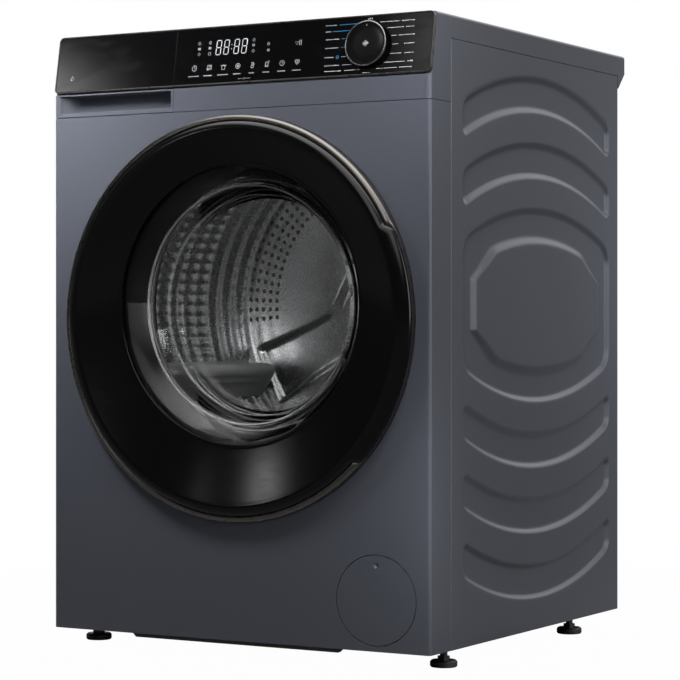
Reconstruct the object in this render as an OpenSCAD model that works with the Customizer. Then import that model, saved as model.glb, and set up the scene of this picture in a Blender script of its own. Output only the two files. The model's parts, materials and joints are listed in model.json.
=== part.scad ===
// Front load washing machine: cabinet, door, detergent drawer, suspended tub, drum and belt drive.
// The cabinet stands on Z = 0 and its front looks along -Y.

/* [Cabinet] */
// Width of the cabinet
body_w = 595; // [560:5:640]
// Height from the floor to the top cover
body_h = 850; // [820:5:900]
// Depth from the front panel to the rear panel
body_d = 598; // [560:2:680]
// Gap between the floor and the cabinet, taken up by the feet
floor_gap = 24; // [20:1:40]
// Thickness of the painted sheet steel
sheet = 1.2; // [0.8:0.1:2]
// Radius of the front panel's vertical corners
corner_r = 5; // [3:0.5:8]
// Depth of the front panel's sides
wrap_d = 57; // [45:1:70]
// Open seam between two painted panels
seam = 0.8; // [0.4:0.1:1.2]
// Height of the top cover's skirt
skirt_h = 31; // [26:1:40]
// Reach of the top cover past the rear panel
top_overhang = 25; // [20:1:30]

/* [Console] */
// Height of the console, from the front panel to the top
console_h = 114; // [108:1:124]
// Height of the black glass
glass_h = 80; // [74:1:86]
// Set back of the glass's top edge
glass_setback = 14; // [8:1:18]
// Thickness of the black glass
glass_t = 4; // [3:0.5:5]
// Width of the metal trim around the glass
trim_w = 2; // [1.5:0.5:3]
// Width of the detergent drawer's front
drawer_w = 200; // [180:2:220]
// Diameter of the programme knob
knob_d = 61; // [50:1:66]
// Height of the knob in front of the glass
knob_h = 9; // [7:1:12]
// Distance of the knob from the cabinet's middle
knob_x = 203; // [190:1:215]
// Distance of the knob's middle below the top
knob_drop = 40; // [36:1:45]

/* [Door] */
// Diameter of the door's metal ring
door_d = 545; // [520:1:552]
// Height of the door's middle
door_z = 455; // [440:1:460]
// Offset of the door and the drum from the cabinet's middle
axis_x = 4; // [0:1:6]
// Width of the ring's metal face
ring_face = 8.5; // [6:0.5:9]
// Distance of the ring's front edge from the front panel
ring_proud = 15; // [14:0.5:18]
// Distance of the cover's bulge from the front panel
door_proud = 20; // [19:0.5:26]
// Running gap between the ring and the front panel
door_gap = 1.5; // [1.2:0.1:2]
// Width of the cover beside the clear window
rim_w = 84.5; // [80:0.5:97]
// Depth of the glass bowl behind the front panel
bowl_depth = 96; // [80:1:100]

/* [Washing group] */
// Height of the drum's axis
drum_z = 474; // [460:1:476]
// Diameter of the drum
drum_d = 490; // [460:2:494]
// Depth of the drum
drum_depth = 332; // [290:2:334]
// Gap between the drum and the tub
drum_gap = 10; // [8:0.5:12]
// Wall of the plastic tub
tub_t = 5; // [4:0.5:6]
// Diameter of the drum's pulley
pulley_d = 300; // [260:5:310]
// Diameter of the motor's pulley
motor_pulley_d = 20; // [18:1:26]
// Diameter of the motor
motor_d = 110; // [96:2:116]

/* [Service parts] */
// Diameter of the filter flap
flap_d = 117; // [110:1:122]
// Distance of the filter flap from the cabinet's middle
flap_x = 218; // [205:1:220]
// Height of the filter flap's middle
flap_z = 90.5; // [86:0.5:94]
// Diameter of a foot's pad
foot_d = 36; // [30:1:44]
// Distance of a foot from the cabinet's side
foot_side = 21; // [19:1:60]
// Distance of the front feet from the front panel
foot_front = 77; // [60:1:100]
// Distance of the rear feet from the rear panel
foot_rear = 128; // [60:1:150]

/* [Hidden] */
$fn = 96;

// The front panel's plane. The whole machine is centred on the origin from the door's bulge
// to the top cover's rear edge.
front_y = door_proud - (door_proud + body_d + top_overhang) / 2;
// Overlap that joins two shapes, overrun of a cutting shape, and gap between two seated pieces
eps = 0.01;
cut = 1;
seat = 0.3;
// Gaps of a pressed and of a push fit
press_clear = 0.1;
push_clear = 0.05;
half_w = body_w / 2;
console_z = body_h - console_h;
skirt_z = body_h - skirt_h;
glass_z = body_h - glass_h;
strip_z = glass_z - trim_w - 0.6;
knob_z = body_h - knob_drop;

// Radii and depths that the door, the gasket, the tub and the drum share
ring_r = door_d / 2;
window_r = ring_r - rim_w;
port_r = window_r + 20;
collar_r = port_r - 5;
bowl_r = window_r - 28;
drum_r = drum_d / 2;
drum_y0 = 95;
drum_y1 = drum_y0 + drum_depth;
tub_r = drum_r + drum_gap + tub_t;
tub_open_r = port_r - 16;
tub_y0 = 74;
tub_split = 250;
tub_y1 = drum_y1 + 33;
drum_open_r = tub_open_r - 24;

// Height of the tub's outer wall over the drum's axis at a place across it
function tub_rise(x) = sqrt(pow(tub_r, 2) - pow(x - axis_x, 2));

lean = atan(glass_setback / glass_h);
glass_len = glass_h / cos(lean);
glass_bed = glass_t + 1.5;

// Depth of the bed that the glass lies on, at a height
function bed_y(z) = glass_bed / cos(lean) + (z - glass_z) * tan(lean);

paint = [0.37, 0.39, 0.43];
black_gloss = [0.03, 0.03, 0.035];
champagne = [0.55, 0.5, 0.44];
steel = [0.72, 0.73, 0.75];
zinc = [0.6, 0.61, 0.62];
white_plastic = [0.88, 0.88, 0.86];
grey_plastic = [0.5, 0.51, 0.53];
dark_plastic = [0.12, 0.12, 0.13];
rubber = [0.25, 0.26, 0.27];
concrete = [0.62, 0.6, 0.57];
copper = [0.72, 0.42, 0.25];
clear = [0.75, 0.8, 0.82];

// ---- placing ----

// Moves a shape drawn from the front panel's plane and the floor to its place
module from_front()
  translate([0, front_y, 0])
    children();

// Turns a shape drawn along Z to run backwards from the front panel at a height
module axis_at(z)
  translate([axis_x, front_y, z])
    rotate([-90, 0, 0])
      children();

module door_axis()
  axis_at(door_z)
    children();

module drum_axis()
  axis_at(drum_z)
    children();

// Turns a shape drawn along Z to run backwards from the front panel at a place
module rearward(x, y, z)
  translate([x, y, z])
    rotate([-90, 0, 0])
      children();

// Turns a profile in Y and Z, extruded along X, about the cabinet's middle
module across(width)
  translate([-width / 2, 0, 0])
    rotate([90, 0, 90])
      linear_extrude(width)
        children();

// A flat ring along Z between two depths
module ring(r_out, r_in, z0, z1)
  translate([0, 0, z0])
    difference() {
      cylinder(r = r_out, h = z1 - z0);
      translate([0, 0, -cut])
        cylinder(r = r_in, h = z1 - z0 + 2 * cut);
    }

// A box given by its lowest and highest corners
module block(a, b)
  translate(a)
    cube(b - a);

// A rectangle with round corners from its lowest to its highest corner
module round_rect(a, b, r) {
  translate([a[0] + r, a[1]])
    square([b[0] - a[0] - 2 * r, b[1] - a[1]]);
  translate([a[0], a[1] + r])
    square([b[0] - a[0], b[1] - a[1] - 2 * r]);
  for (x = [a[0] + r, b[0] - r], y = [a[1] + r, b[1] - r])
    translate([x, y])
      circle(r);
}

module mirrored_x() {
  children();
  mirror([1, 0, 0])
    children();
}

// ---- painted cabinet ----

// Pressings of a side panel: arched bands and a framed pad
press_depth = 5;
press_draft = 5;
press_radius = 590;
press_mid = 328;
press_half = 237;
band_h = 48;
band_pitch = 91;
band_top = body_h - 60;
frame_top = band_top - 2 * band_pitch;
frame_bottom = 340;
upper_bands = 2;
lower_bands = 3;
pad_half = 199;
pad_top = frame_top - 46;
pad_bottom = frame_bottom + 45;
pad_draft = 12;

// A tapered disc that presses the sheet; grow widens it on the sheet's inner face
module press_disc(z, r, draft)
  translate([press_mid, z, -press_depth - sheet])
    cylinder(r1 = r - draft * (press_depth + sheet) / press_depth,
             r2 = r + draft * cut / press_depth,
             h = press_depth + sheet + cut, $fn = 180);

// Straight tapered ends of a pressing
module press_ends(half, draft) {
  deep = press_depth + sheet;
  slope = draft / press_depth;
  translate([0, body_h, 0])
    rotate([90, 0, 0])
      linear_extrude(body_h)
        polygon([[press_mid - half + slope * deep, -deep],
                 [press_mid + half - slope * deep, -deep],
                 [press_mid + half + slope * cut, cut],
                 [press_mid - half - slope * cut, cut]]);
}

module press_shape(grow) {
  r = press_radius;
  intersection() {
    press_ends(press_half + grow, press_draft);
    union() {
      for (i = [0 : upper_bands - 1])
        difference() {
          press_disc(band_top - i * band_pitch - r, r + grow, press_draft);
          press_disc(band_top - i * band_pitch - band_h - r, r - grow, -press_draft);
        }
      for (i = [1 : lower_bands])
        difference() {
          press_disc(frame_bottom - i * band_pitch + r, r + grow, press_draft);
          press_disc(frame_bottom - i * band_pitch + band_h + r, r - grow, -press_draft);
        }
      difference() {
        intersection() {
          press_disc(frame_top - r, r + grow, press_draft);
          press_disc(frame_bottom + r, r + grow, press_draft);
        }
        intersection() {
          press_ends(pad_half - grow, -pad_draft);
          press_disc(pad_top - r, r - grow, -pad_draft);
          press_disc(pad_bottom + r, r - grow, -pad_draft);
        }
      }
    }
  }
}

side_flange = 12;

// The right side panel, drawn with its outer face on X = 0
module side_panel_shape() {
  y0 = wrap_d + seam;
  z0 = floor_gap;
  z1 = skirt_z - seam;
  difference() {
    union() {
      block([-sheet, y0, z0], [0, body_d, z1]);
      block([-side_flange, y0, z0 + base_t + seam], [0, y0 + sheet, z1]);
      block([-side_flange, body_d - sheet, z0 + base_t + seam], [0, body_d, z1]);
      rotate([90, 0, 90])
        intersection() {
          translate([0, 0, -sheet])
            press_shape(sheet);
          translate([0, 0, -press_depth - sheet])
            cube([body_d, body_h, press_depth + sheet]);
        }
    }
    rotate([90, 0, 90])
      intersection() {
        press_shape(0);
        translate([0, 0, -press_depth])
          cube([body_d, body_h, press_depth + cut]);
      }
  }
}

module side_panel_right()
  color(paint)
    from_front()
      translate([half_w, 0, 0])
        side_panel_shape();

module side_panel_left()
  color(paint)
    from_front()
      translate([-half_w, 0, 0])
        mirror([1, 0, 0])
          side_panel_shape();

// Plan outline of the front panel, inset from its outer face
module front_outline(inset, depth) {
  r = corner_r - inset;
  translate([-half_w + inset, corner_r])
    square([body_w - 2 * inset, depth - corner_r]);
  translate([-half_w + corner_r, inset])
    square([body_w - 2 * corner_r, corner_r]);
  for (s = [-1, 1])
    translate([s * (half_w - corner_r), corner_r])
      circle(r);
}

dish_r = ring_r - 0.5;
dish_depth = 8;
port_collar = 12;
flap_gap = 1;
flap_t = 3;
latch_r = ring_r - 42.5;
lock_slot = [13, 40];
hinge_x = axis_x - ring_r + 13.5;
hinge_y = -9;
flap_hinge_z = flap_z - flap_d / 2 + 1;
flap_hinge_y = 0.4;
tongue_half = 10;
tongue_len = 6;
tongue_h = 2.5;

// Pressed steel front: a U in plan, with a dish for the door and the porthole's collar
module front_panel()
  color(paint)
    difference() {
      union() {
        from_front()
          translate([0, 0, floor_gap])
            linear_extrude(console_z - seam - floor_gap)
              difference() {
                front_outline(0, wrap_d);
                front_outline(sheet, wrap_d + cut);
              }
        from_front()
          mirrored_x()
            block([half_w - side_flange, wrap_d - sheet, floor_gap + base_t + seam],
                  [half_w - sheet + eps, wrap_d, console_z - seam]);
        door_axis()
          cylinder(r = dish_r + sheet, h = dish_depth + sheet);
        drum_axis()
          cylinder(r = port_r + sheet, h = dish_depth + port_collar);
      }
      door_axis()
        translate([0, 0, -cut])
          cylinder(r = dish_r, h = dish_depth + cut);
      drum_axis()
        translate([0, 0, -cut])
          cylinder(r = port_r, h = dish_depth + port_collar + 2 * cut);
      from_front()
        rearward(flap_x, -cut, flap_z)
          cylinder(r = flap_d / 2 + flap_gap, h = sheet + 2 * cut);
      from_front()
        translate([axis_x + latch_r - lock_slot[0] / 2, 0, door_z - lock_slot[1] / 2])
          cube([lock_slot[0], dish_depth + sheet + cut, lock_slot[1]]);
    }

access_w = 400;
access_z0 = drum_z - 284;
access_z1 = drum_z + 216;
access_lap = 14;
access_r = 24;
transit_x = 245;
transit_z = [drum_z - 244, drum_z + 166];
transit_r = 15;
plug_depth = 10;
plug_lap = 4;
plug_head = 3;
valve_x = 150;
valve_z = body_h - 70;
valve_hole_r = 16;
hose_x = half_w - 24.5;
hose_z = 70;
hose_r = 10;
hose_t = 2.5;
outlet_r = 9.5;
outlet_len = 18;
outlet_bead = 3;
gland_x = -200;
gland_z = body_h - 85;
gland_r = 9;
gland_bore_r = 4;
gland_lap = 4;
gland_head = 6;

// Painted steel back with the access opening, the transit bolt holes and the service holes
module rear_panel()
  color(paint)
    from_front() {
      z0 = floor_gap + base_t + seam;
      difference() {
        block([-half_w + side_flange + seam, body_d - sheet, z0],
              [half_w - side_flange - seam, body_d, skirt_z - seam]);
        translate([0, body_d + cut, 0])
          rotate([90, 0, 0])
            linear_extrude(sheet + 2 * cut)
              round_rect([-access_w / 2 + access_lap, access_z0 + access_lap],
                         [access_w / 2 - access_lap, access_z1 - access_lap],
                         access_r - 4);
        for (x = [-transit_x, transit_x], z = transit_z)
          rearward(x, body_d - sheet - cut, z)
            cylinder(r = transit_r, h = sheet + 2 * cut);
        rearward(valve_x, body_d - sheet - cut, valve_z)
          cylinder(r = valve_hole_r, h = sheet + 2 * cut);
        rearward(hose_x, body_d - sheet - cut, hose_z)
          cylinder(r = hose_r + 1, h = sheet + 2 * cut);
        rearward(gland_x, body_d - sheet - cut, gland_z)
          cylinder(r = gland_r, h = sheet + 2 * cut);
      }
    }

rib_h = 2;
rib_w = 18;
rib_r = 8;
rib_pitch = 60;
rib_inset = 50;

// Screwed cover over the belt, with pressed ribs
module rear_access_cover()
  color(paint)
    from_front()
      translate([0, body_d, 0])
        rotate([90, 0, 180]) {
          linear_extrude(sheet)
            round_rect([-access_w / 2, access_z0], [access_w / 2, access_z1], access_r);
          for (z = [access_z0 + rib_pitch : rib_pitch : access_z1 - rib_pitch])
            translate([-access_w / 2 + rib_inset, z, sheet - eps])
              linear_extrude(rib_h)
                round_rect([0, 0], [access_w - 2 * rib_inset, rib_w], rib_r);
        }

top_t = 4;
top_round = 4;
skirt_t = 3;
cheek_w = 7.5;
rear_drop = 19;
rear_lip = 2;
rear_slope = 4;
top_front_t = 12;

// Profile in Y and Z of the top cover, behind the glass
module top_profile() {
  back = body_d + top_overhang;
  difference() {
    polygon([[bed_y(skirt_z), skirt_z],
             [bed_y(body_h), body_h],
             [back, body_h],
             [back, skirt_z + rear_slope],
             [body_d + rear_lip, skirt_z - rear_drop],
             [body_d + seam, skirt_z - rear_drop],
             [body_d + seam, skirt_z]]);
    translate([back - 2 * top_round, body_h - 2 * top_round])
      difference() {
        square(3 * top_round);
        square([2 * top_round, top_round]);
        square([top_round, 2 * top_round]);
        translate([top_round, top_round])
          circle(top_round);
      }
  }
}

// Side cheek that closes the console at each front corner
module cheek_profile()
  polygon([[0, console_z],
           [0, strip_z],
           [bed_y(strip_z), strip_z],
           [bed_y(skirt_z), skirt_z + eps],
           [wrap_d, skirt_z + eps],
           [wrap_d, console_z]]);

module top_outline() {
  translate([-half_w, console_z - cut])
    square([body_w, console_h - top_round + cut]);
  translate([-half_w + top_round, console_z])
    square([body_w - 2 * top_round, console_h]);
  for (s = [-1, 1])
    translate([s * (half_w - top_round), body_h - top_round])
      circle(top_round);
}

// Moulded top cover with its skirt, rear overhang and the console's two cheeks
module top_cover()
  color(paint)
    from_front()
      difference() {
        intersection() {
          union() {
            across(body_w)
              top_profile();
            for (s = [-1, 1])
              translate([s * (half_w - cheek_w / 2), 0, 0])
                across(cheek_w)
                  cheek_profile();
          }
          translate([0, body_d + 2 * top_overhang, 0])
            rotate([90, 0, 0])
              linear_extrude(body_d + 4 * top_overhang)
                top_outline();
          translate([0, 0, console_z - cut])
            linear_extrude(console_h + 2 * cut)
              front_outline(0, body_d + 2 * top_overhang);
        }
        block([-half_w + skirt_t, glass_setback + top_front_t, skirt_z - cut],
              [half_w - skirt_t, body_d - top_t, body_h - top_t]);
      }

base_t = 3;
base_rail = 58;
base_front = 146;
base_inset = sheet + 0.3;
kick_half = 165;
kick_drop = 5;
kick_t = 8;
leg_boss_r = 15;
leg_boss_h = 26;
stud_r = 5;
stud_clear = 0.08;
damper_y = 215;
damper_low = [half_w - 62.5, 62];
damper_high = [tub_r - 84, drum_z - tub_rise(tub_r - 84) - 17];
ear_t = 5;
ear_w = 16;
ear_over = 10;
eye_half = 14.6;
damper_ears = [damper_y - eye_half - seat - ear_t, damper_y + eye_half + seat];

function foot_spots() = [for (x = [-1, 1], y = [foot_front, body_d - foot_rear])
                         [x * (half_w - foot_side), y]];

// Moulded base that joins the panels, with leg bosses, damper ears and the kick strip
module base_frame()
  color(dark_plastic)
    from_front()
      difference() {
        union() {
          difference() {
            translate([0, 0, floor_gap])
              linear_extrude(base_t)
                front_outline(base_inset, body_d - base_inset);
            block([-half_w + base_rail, base_front, floor_gap - cut],
                  [half_w - base_rail, body_d - base_rail,
                   floor_gap + base_t + cut]);
          }
          for (p = foot_spots())
            translate([p[0], p[1], floor_gap])
              cylinder(r = leg_boss_r, h = leg_boss_h);
          translate([0, base_inset + kick_t, 0])
            rotate([90, 0, 0])
              linear_extrude(kick_t)
                polygon([[-kick_half, floor_gap + eps],
                         [-kick_half + kick_drop, floor_gap - kick_drop],
                         [kick_half - kick_drop, floor_gap - kick_drop],
                         [kick_half, floor_gap + eps]]);
          mirror_about_axis()
            for (y = damper_ears)
              block([damper_low[0] - ear_w, y, floor_gap],
                    [damper_low[0] + ear_w, y + ear_t, damper_low[1] + ear_over]);
        }
        for (p = foot_spots())
          translate([p[0], p[1], floor_gap - cut])
            cylinder(r = stud_r + stud_clear, h = leg_boss_h + 2 * cut);
      }

spring_x = tub_r - 35;
spring_y = tub_y1 - 90;
brace_z = body_h - 58;
spring_top = brace_z - 6;
spring_bottom = drum_z + 178;
spring_turns = 13;
spring_r = 11;
wire_r = 1.8;
plug_r = spring_r - wire_r - seat;
plug_len = 12;
brace_half = 14;
brace_t = 2;
brace_h = 18;

// Channel across the cabinet that the springs hang from
module cross_brace()
  color(zinc)
    from_front() {
      inside = half_w - sheet - press_clear;
      translate([0, spring_y, 0])
        across(2 * inside)
          difference() {
            translate([-brace_half, brace_z])
              square([2 * brace_half, brace_h]);
            translate([-brace_half + brace_t, brace_z + brace_t])
              square([2 * (brace_half - brace_t), brace_h]);
          }
      for (s = [-1, 1])
        translate([axis_x + s * spring_x, spring_y, spring_top]) {
          translate([0, 0, -plug_len])
            cylinder(r = plug_r, h = plug_len + brace_z - spring_top + eps);
          translate([0, 0, wire_r + seat])
            cylinder(r = spring_r + wire_r, h = brace_z - spring_top - wire_r - seat + eps);
        }
    }

// ---- feet ----

pad_h = 9;
pad_edge = 1.5;
pad_slope = 2;
nut_r = 9;
nut_h = 5;
stud_short = 2;

module foot(i)
  color(dark_plastic)
    from_front()
      translate([foot_spots()[i][0], foot_spots()[i][1], 0]) {
        rotate_extrude()
          polygon([[0, 0], [foot_d / 2 - pad_edge, 0], [foot_d / 2, pad_edge],
                   [foot_d / 2, pad_h - pad_slope], [foot_d / 2 - pad_slope, pad_h], [0, pad_h]]);
        translate([0, 0, pad_h - eps])
          cylinder(r = nut_r, h = nut_h, $fn = 6);
        cylinder(r = stud_r, h = floor_gap + leg_boss_h - stud_short);
      }

module foot_front_left()
  foot(0);

module foot_rear_left()
  foot(1);

module foot_front_right()
  foot(2);

module foot_rear_right()
  foot(3);

// ---- console and drawer ----

drawer_split = -half_w + drawer_w;
split_gap = 0.6;
bay_wall = 3;
glass_corner = 7;
split_reach = 200;

// Places a shape on the glass's leaning plane: X across, Y into the machine, Z up the slope
module on_glass()
  from_front()
    translate([0, 0, glass_z])
      rotate([-lean, 0, 0])
        children();

module glass_outline(inset)
  round_rect([-half_w + inset, inset], [half_w - inset, glass_len - inset],
             glass_corner - inset);

// A slab of the glass plane's outline, from one depth to another
module glass_slab(inset, y0, y1)
  translate([0, y1, 0])
    rotate([90, 0, 0])
      linear_extrude(y1 - y0)
        glass_outline(inset);

knob_up = (knob_z - glass_z) / cos(lean);
knob_shaft_r = 3;
knob_lap = 4;
trim_proud = 0.4;
trim_back = glass_t + 1;

module right_of_split()
  intersection() {
    children();
    translate([drawer_split + split_gap / 2, -split_reach / 2, -cut])
      cube([body_w, split_reach, glass_len + 2 * cut]);
  }

module left_of_split()
  intersection() {
    children();
    translate([-body_w, -split_reach / 2, -cut])
      cube([body_w + drawer_split - split_gap / 2, split_reach, glass_len + 2 * cut]);
  }

module control_glass()
  color(black_gloss)
    on_glass()
      difference() {
        right_of_split()
          glass_slab(trim_w, 0, glass_t);
        rearward(knob_x, -cut, knob_up)
          cylinder(r = knob_d / 2 - knob_lap, h = glass_t + 2 * cut);
      }

module trim_frame()
  difference() {
    glass_slab(0, -trim_proud, trim_back);
    glass_slab(trim_w, -2 * cut, trim_back + cut);
  }

module panel_trim()
  color(champagne)
    on_glass()
      right_of_split()
        trim_frame();

console_back = wrap_d - 6;
console_t = 2.5;
side_gap = 0.3;

// Section of the console's moulding, open to the rear
module console_profile() {
  t = console_t;
  z_top = skirt_z - seat;
  difference() {
    polygon([[0, console_z], [0, strip_z], [bed_y(strip_z), strip_z],
             [bed_y(z_top), z_top], [console_back, z_top], [console_back, console_z]]);
    polygon([[t, console_z + t], [t, strip_z - t],
             [bed_y(strip_z - t) + t, strip_z - t],
             [bed_y(z_top - t) + t, z_top - t], [console_back + cut, z_top - t],
             [console_back + cut, console_z + t]]);
  }
}

display_x0 = -60;
display_x1 = 150;
display_low = 14;
display_high = 44;
display_y = 10;
bay_reach = 12;
knob_well_r = 12;
board_low = knob_up - 32.6;
board_high = knob_up + 6;
board_y = 16;
board_t = 1.6;
board_edge = 8;
board_reach = 30;
socket_r = 8;
post = 4;
post_y = glass_t + 4.4;

// Console moulding beside the drawer: strip, glass bed and the control board's bay
module console_housing()
  color(paint)
    difference() {
      from_front()
        intersection() {
          union() {
            across(body_w)
              console_profile();
            block([drawer_split + split_gap / 2, 3, console_z + 1],
                  [drawer_split + split_gap / 2 + bay_wall, console_back,
                   strip_z - 1.4]);
          }
          block([drawer_split + split_gap / 2, -cut, console_z - cut],
                [half_w - cheek_w - side_gap, wrap_d, body_h]);
        }
      on_glass()
        rearward(knob_x, -cut, knob_up)
          cylinder(r = knob_well_r, h = glass_t + bay_reach);
      on_glass()
        block([display_x0, glass_t - cut, display_low],
              [display_x1, glass_t + bay_reach, display_high]);
    }

// Circuit board with the display, on posts behind the glass
module control_board()
  color("darkgreen")
    on_glass() {
      difference() {
        block([display_x0 - board_edge, board_y, board_low],
              [knob_x + board_reach, board_y + board_t, board_high]);
        rearward(knob_x, board_y - cut, knob_up)
          cylinder(r = knob_shaft_r + 1, h = board_t + 2 * cut);
      }
      block([display_x0 + post, display_y, board_low + board_edge],
            [display_x1 - post, board_y + eps, display_high - post]);
      rearward(knob_x, board_y + board_t - eps, knob_up)
        difference() {
          cylinder(r = socket_r, h = socket_r);
          translate([0, 0, -cut])
            cylinder(r = knob_shaft_r + push_clear, h = socket_r);
        }
      for (x = [display_x0 - post, display_x1 + 3 * post])
        block([x, post_y, board_low + post / 2], [x + post, board_y + eps, board_low + 1.5 * post]);
    }

knob_wall = 3;
knob_tail = 20;

// Programme knob: dished face, stepped rim and its shaft
module program_knob()
  color(black_gloss)
    on_glass()
      rearward(knob_x, 0, knob_up) {
        r = knob_d / 2;
        rotate_extrude()
          polygon([[0, -knob_h + 1], [r - 4, -knob_h + 0.6], [r - 2.5, -knob_h],
                   [r - 1, -knob_h], [r, -knob_h + 1], [r + 1, -0.6],
                   [r - knob_wall, -0.6], [r - knob_wall, -knob_h + knob_wall],
                   [0, -knob_h + knob_wall]]);
        translate([0, 0, -knob_h + 2])
          cylinder(r = knob_shaft_r, h = knob_h + knob_tail);
      }

grip_depth = 20;
grip_z0 = 741.5;
grip_left = -half_w + 10.5;
grip_right = drawer_split - 4;
grip_slope = 12;
grip_roof = 2.4;
ramp_r = 53;
ramp_x = grip_left + 46.7;
ramp_y = -25;
front_block = 24;

// Plan of the finger recess: a curved ramp on the left, a sloped end on the right
module grip_plan() {
  intersection() {
    translate([ramp_x, ramp_y])
      circle(ramp_r);
    translate([grip_left - ramp_r, -cut])
      square([ramp_x - grip_left + ramp_r + eps, grip_depth + cut]);
  }
  polygon([[ramp_x, -cut], [ramp_x, grip_depth], [grip_right - grip_slope, grip_depth],
           [grip_right, 0], [grip_right, -cut]]);
}

// Painted drawer front with the finger recess and the bed for its glass
module drawer_front()
  color(paint)
    from_front() {
      x0 = -half_w + cheek_w + side_gap;
      x1 = drawer_split - split_gap / 2;
      z_top = skirt_z - 2 * seat;
      difference() {
        union() {
          block([x0, 0, console_z], [x1, front_block, strip_z]);
          intersection() {
            across(body_w)
              polygon([[bed_y(strip_z), strip_z - eps],
                       [bed_y(z_top), z_top],
                       [front_block, z_top],
                       [front_block, strip_z - eps]]);
            block([x0, 0, console_z], [x1, wrap_d, body_h]);
          }
        }
        translate([0, 0, grip_z0])
          linear_extrude(strip_z - grip_roof - grip_z0)
            grip_plan();
      }
    }

module drawer_glass()
  color(black_gloss)
    on_glass()
      left_of_split()
        glass_slab(trim_w, 0, glass_t);

module drawer_trim()
  color(champagne)
    on_glass()
      left_of_split()
        trim_frame();

bay_x0 = -half_w + side_flange + 1.5;
bay_x1 = drawer_split - 9;
bay_z0 = console_z + 14;
bay_z1 = skirt_z - 7;
bay_y1 = 310;
bay_t = 2.5;
tray_clear = 1.5;
tray_len = 258;
tray_t = 2;
tray_split = 0.6;
tray_cross = 0.45;
tray_low = 4;
fill_spigot = 6;
inlet_spigot = 12;
inlet_spigot_r = 7;
spigot_t = 3;

// Water box that the drawer slides in, open at the front, with its hose spigots
module dispenser_housing()
  color(white_plastic)
    from_front()
      difference() {
        union() {
          block([bay_x0, front_block + 2, bay_z0], [bay_x1, bay_y1, bay_z1]);
          translate([fill_x, fill_y, bay_z0 - fill_spigot])
            cylinder(r = fill_r, h = fill_spigot + eps);
          translate([bay_x1 - eps, inlet_end_y, valve_z])
            rotate([0, 90, 0])
              cylinder(r = inlet_spigot_r, h = inlet_spigot);
        }
        block([bay_x0 + bay_t, front_block, bay_z0 + bay_t],
              [bay_x1 - bay_t, bay_y1 - bay_t, bay_z1 - bay_t]);
        translate([fill_x, fill_y, bay_z0 - fill_spigot - cut])
          cylinder(r = fill_r - spigot_t, h = fill_spigot + bay_t + 2 * cut);
        translate([bay_x1 - bay_t - cut, inlet_end_y, valve_z])
          rotate([0, 90, 0])
            cylinder(r = inlet_spigot_r - spigot_t, h = inlet_spigot + bay_t + 2 * cut);
      }

// Detergent tray with three compartments
module drawer_tray()
  color(white_plastic)
    from_front() {
      x0 = bay_x0 + bay_t + tray_clear;
      x1 = bay_x1 - bay_t - tray_clear;
      z0 = bay_z0 + bay_t + tray_clear;
      z1 = bay_z1 - bay_t - tray_low;
      mid = x0 + (x1 - x0) * tray_split;
      difference() {
        block([x0, front_block, z0], [x1, front_block + tray_len, z1]);
        block([x0 + tray_t, front_block + tray_t, z0 + tray_t],
              [mid, front_block + tray_len - tray_t, z1 + cut]);
        block([mid + tray_t, front_block + tray_t, z0 + tray_t],
              [x1 - tray_t, front_block + tray_len * tray_cross, z1 + cut]);
        block([mid + tray_t, front_block + tray_t + tray_len * tray_cross, z0 + tray_t],
              [x1 - tray_t, front_block + tray_len - tray_t, z1 + cut]);
      }
    }

cap_w = 58;
cap_len = 90;
cap_t = 2.5;
cap_drop = 10;
siphon_r = 9;
siphon_t = 2;
siphon_rise = 5;

// Push-in cap of the softener compartment
module siphon_cap()
  color("steelblue")
    from_front() {
      x1 = bay_x1 - bay_t - tray_clear - tray_t;
      x0 = x1 - cap_w + tray_t;
      y = front_block + tray_len * tray_cross + cap_drop;
      z = bay_z1 - bay_t - tray_low - cap_drop;
      low = bay_z0 + bay_t + tray_clear + siphon_rise;
      block([x0 + tray_t, y, z], [x1 - seat, y + cap_len, z + cap_t]);
      translate([(x0 + x1) / 2, y + cap_len / 2, low])
        difference() {
          cylinder(r = siphon_r, h = z - low + eps);
          translate([0, 0, -cut])
            cylinder(r = siphon_r - siphon_t, h = z - low);
        }
    }

// ---- door ----

cover_r = ring_r - ring_face;
rim_wall = 2.5;
ring_lap = 4;
ring_edge = 1.5;
knuckle_r = 4.5;
pin_r = 2.5;
knuckle_clear = 1;
lug_z = 45;
lug_h = 10;
leaf_half = lug_z - lug_h / 2 - seat - press_clear;
bulge_w = 16;
funnel_r = cover_r - bulge_w;
crest_r = funnel_r + 4;
slice = 0.5;
window_y = 3;
cover_t = 3;
grip_from = -43;
grip_to = 25;
grip_t = 5.2;
grip_play = 0.3;

module hinge_axis()
  from_front()
    translate([hinge_x, hinge_y, door_z])
      children();

// Space that the hinge's knuckles and lugs need in the door
module hinge_space() {
  hinge_axis()
    cylinder(r = knuckle_r + knuckle_clear, h = 2 * (lug_z + lug_h), center = true);
  for (s = [-1, 1])
    hinge_axis()
      translate([-lug_z, -knuckle_r + 0.5, s * lug_z - lug_h / 2 - knuckle_clear])
        cube([2 * lug_z, lug_z, lug_h + 2 * knuckle_clear]);
}

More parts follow.
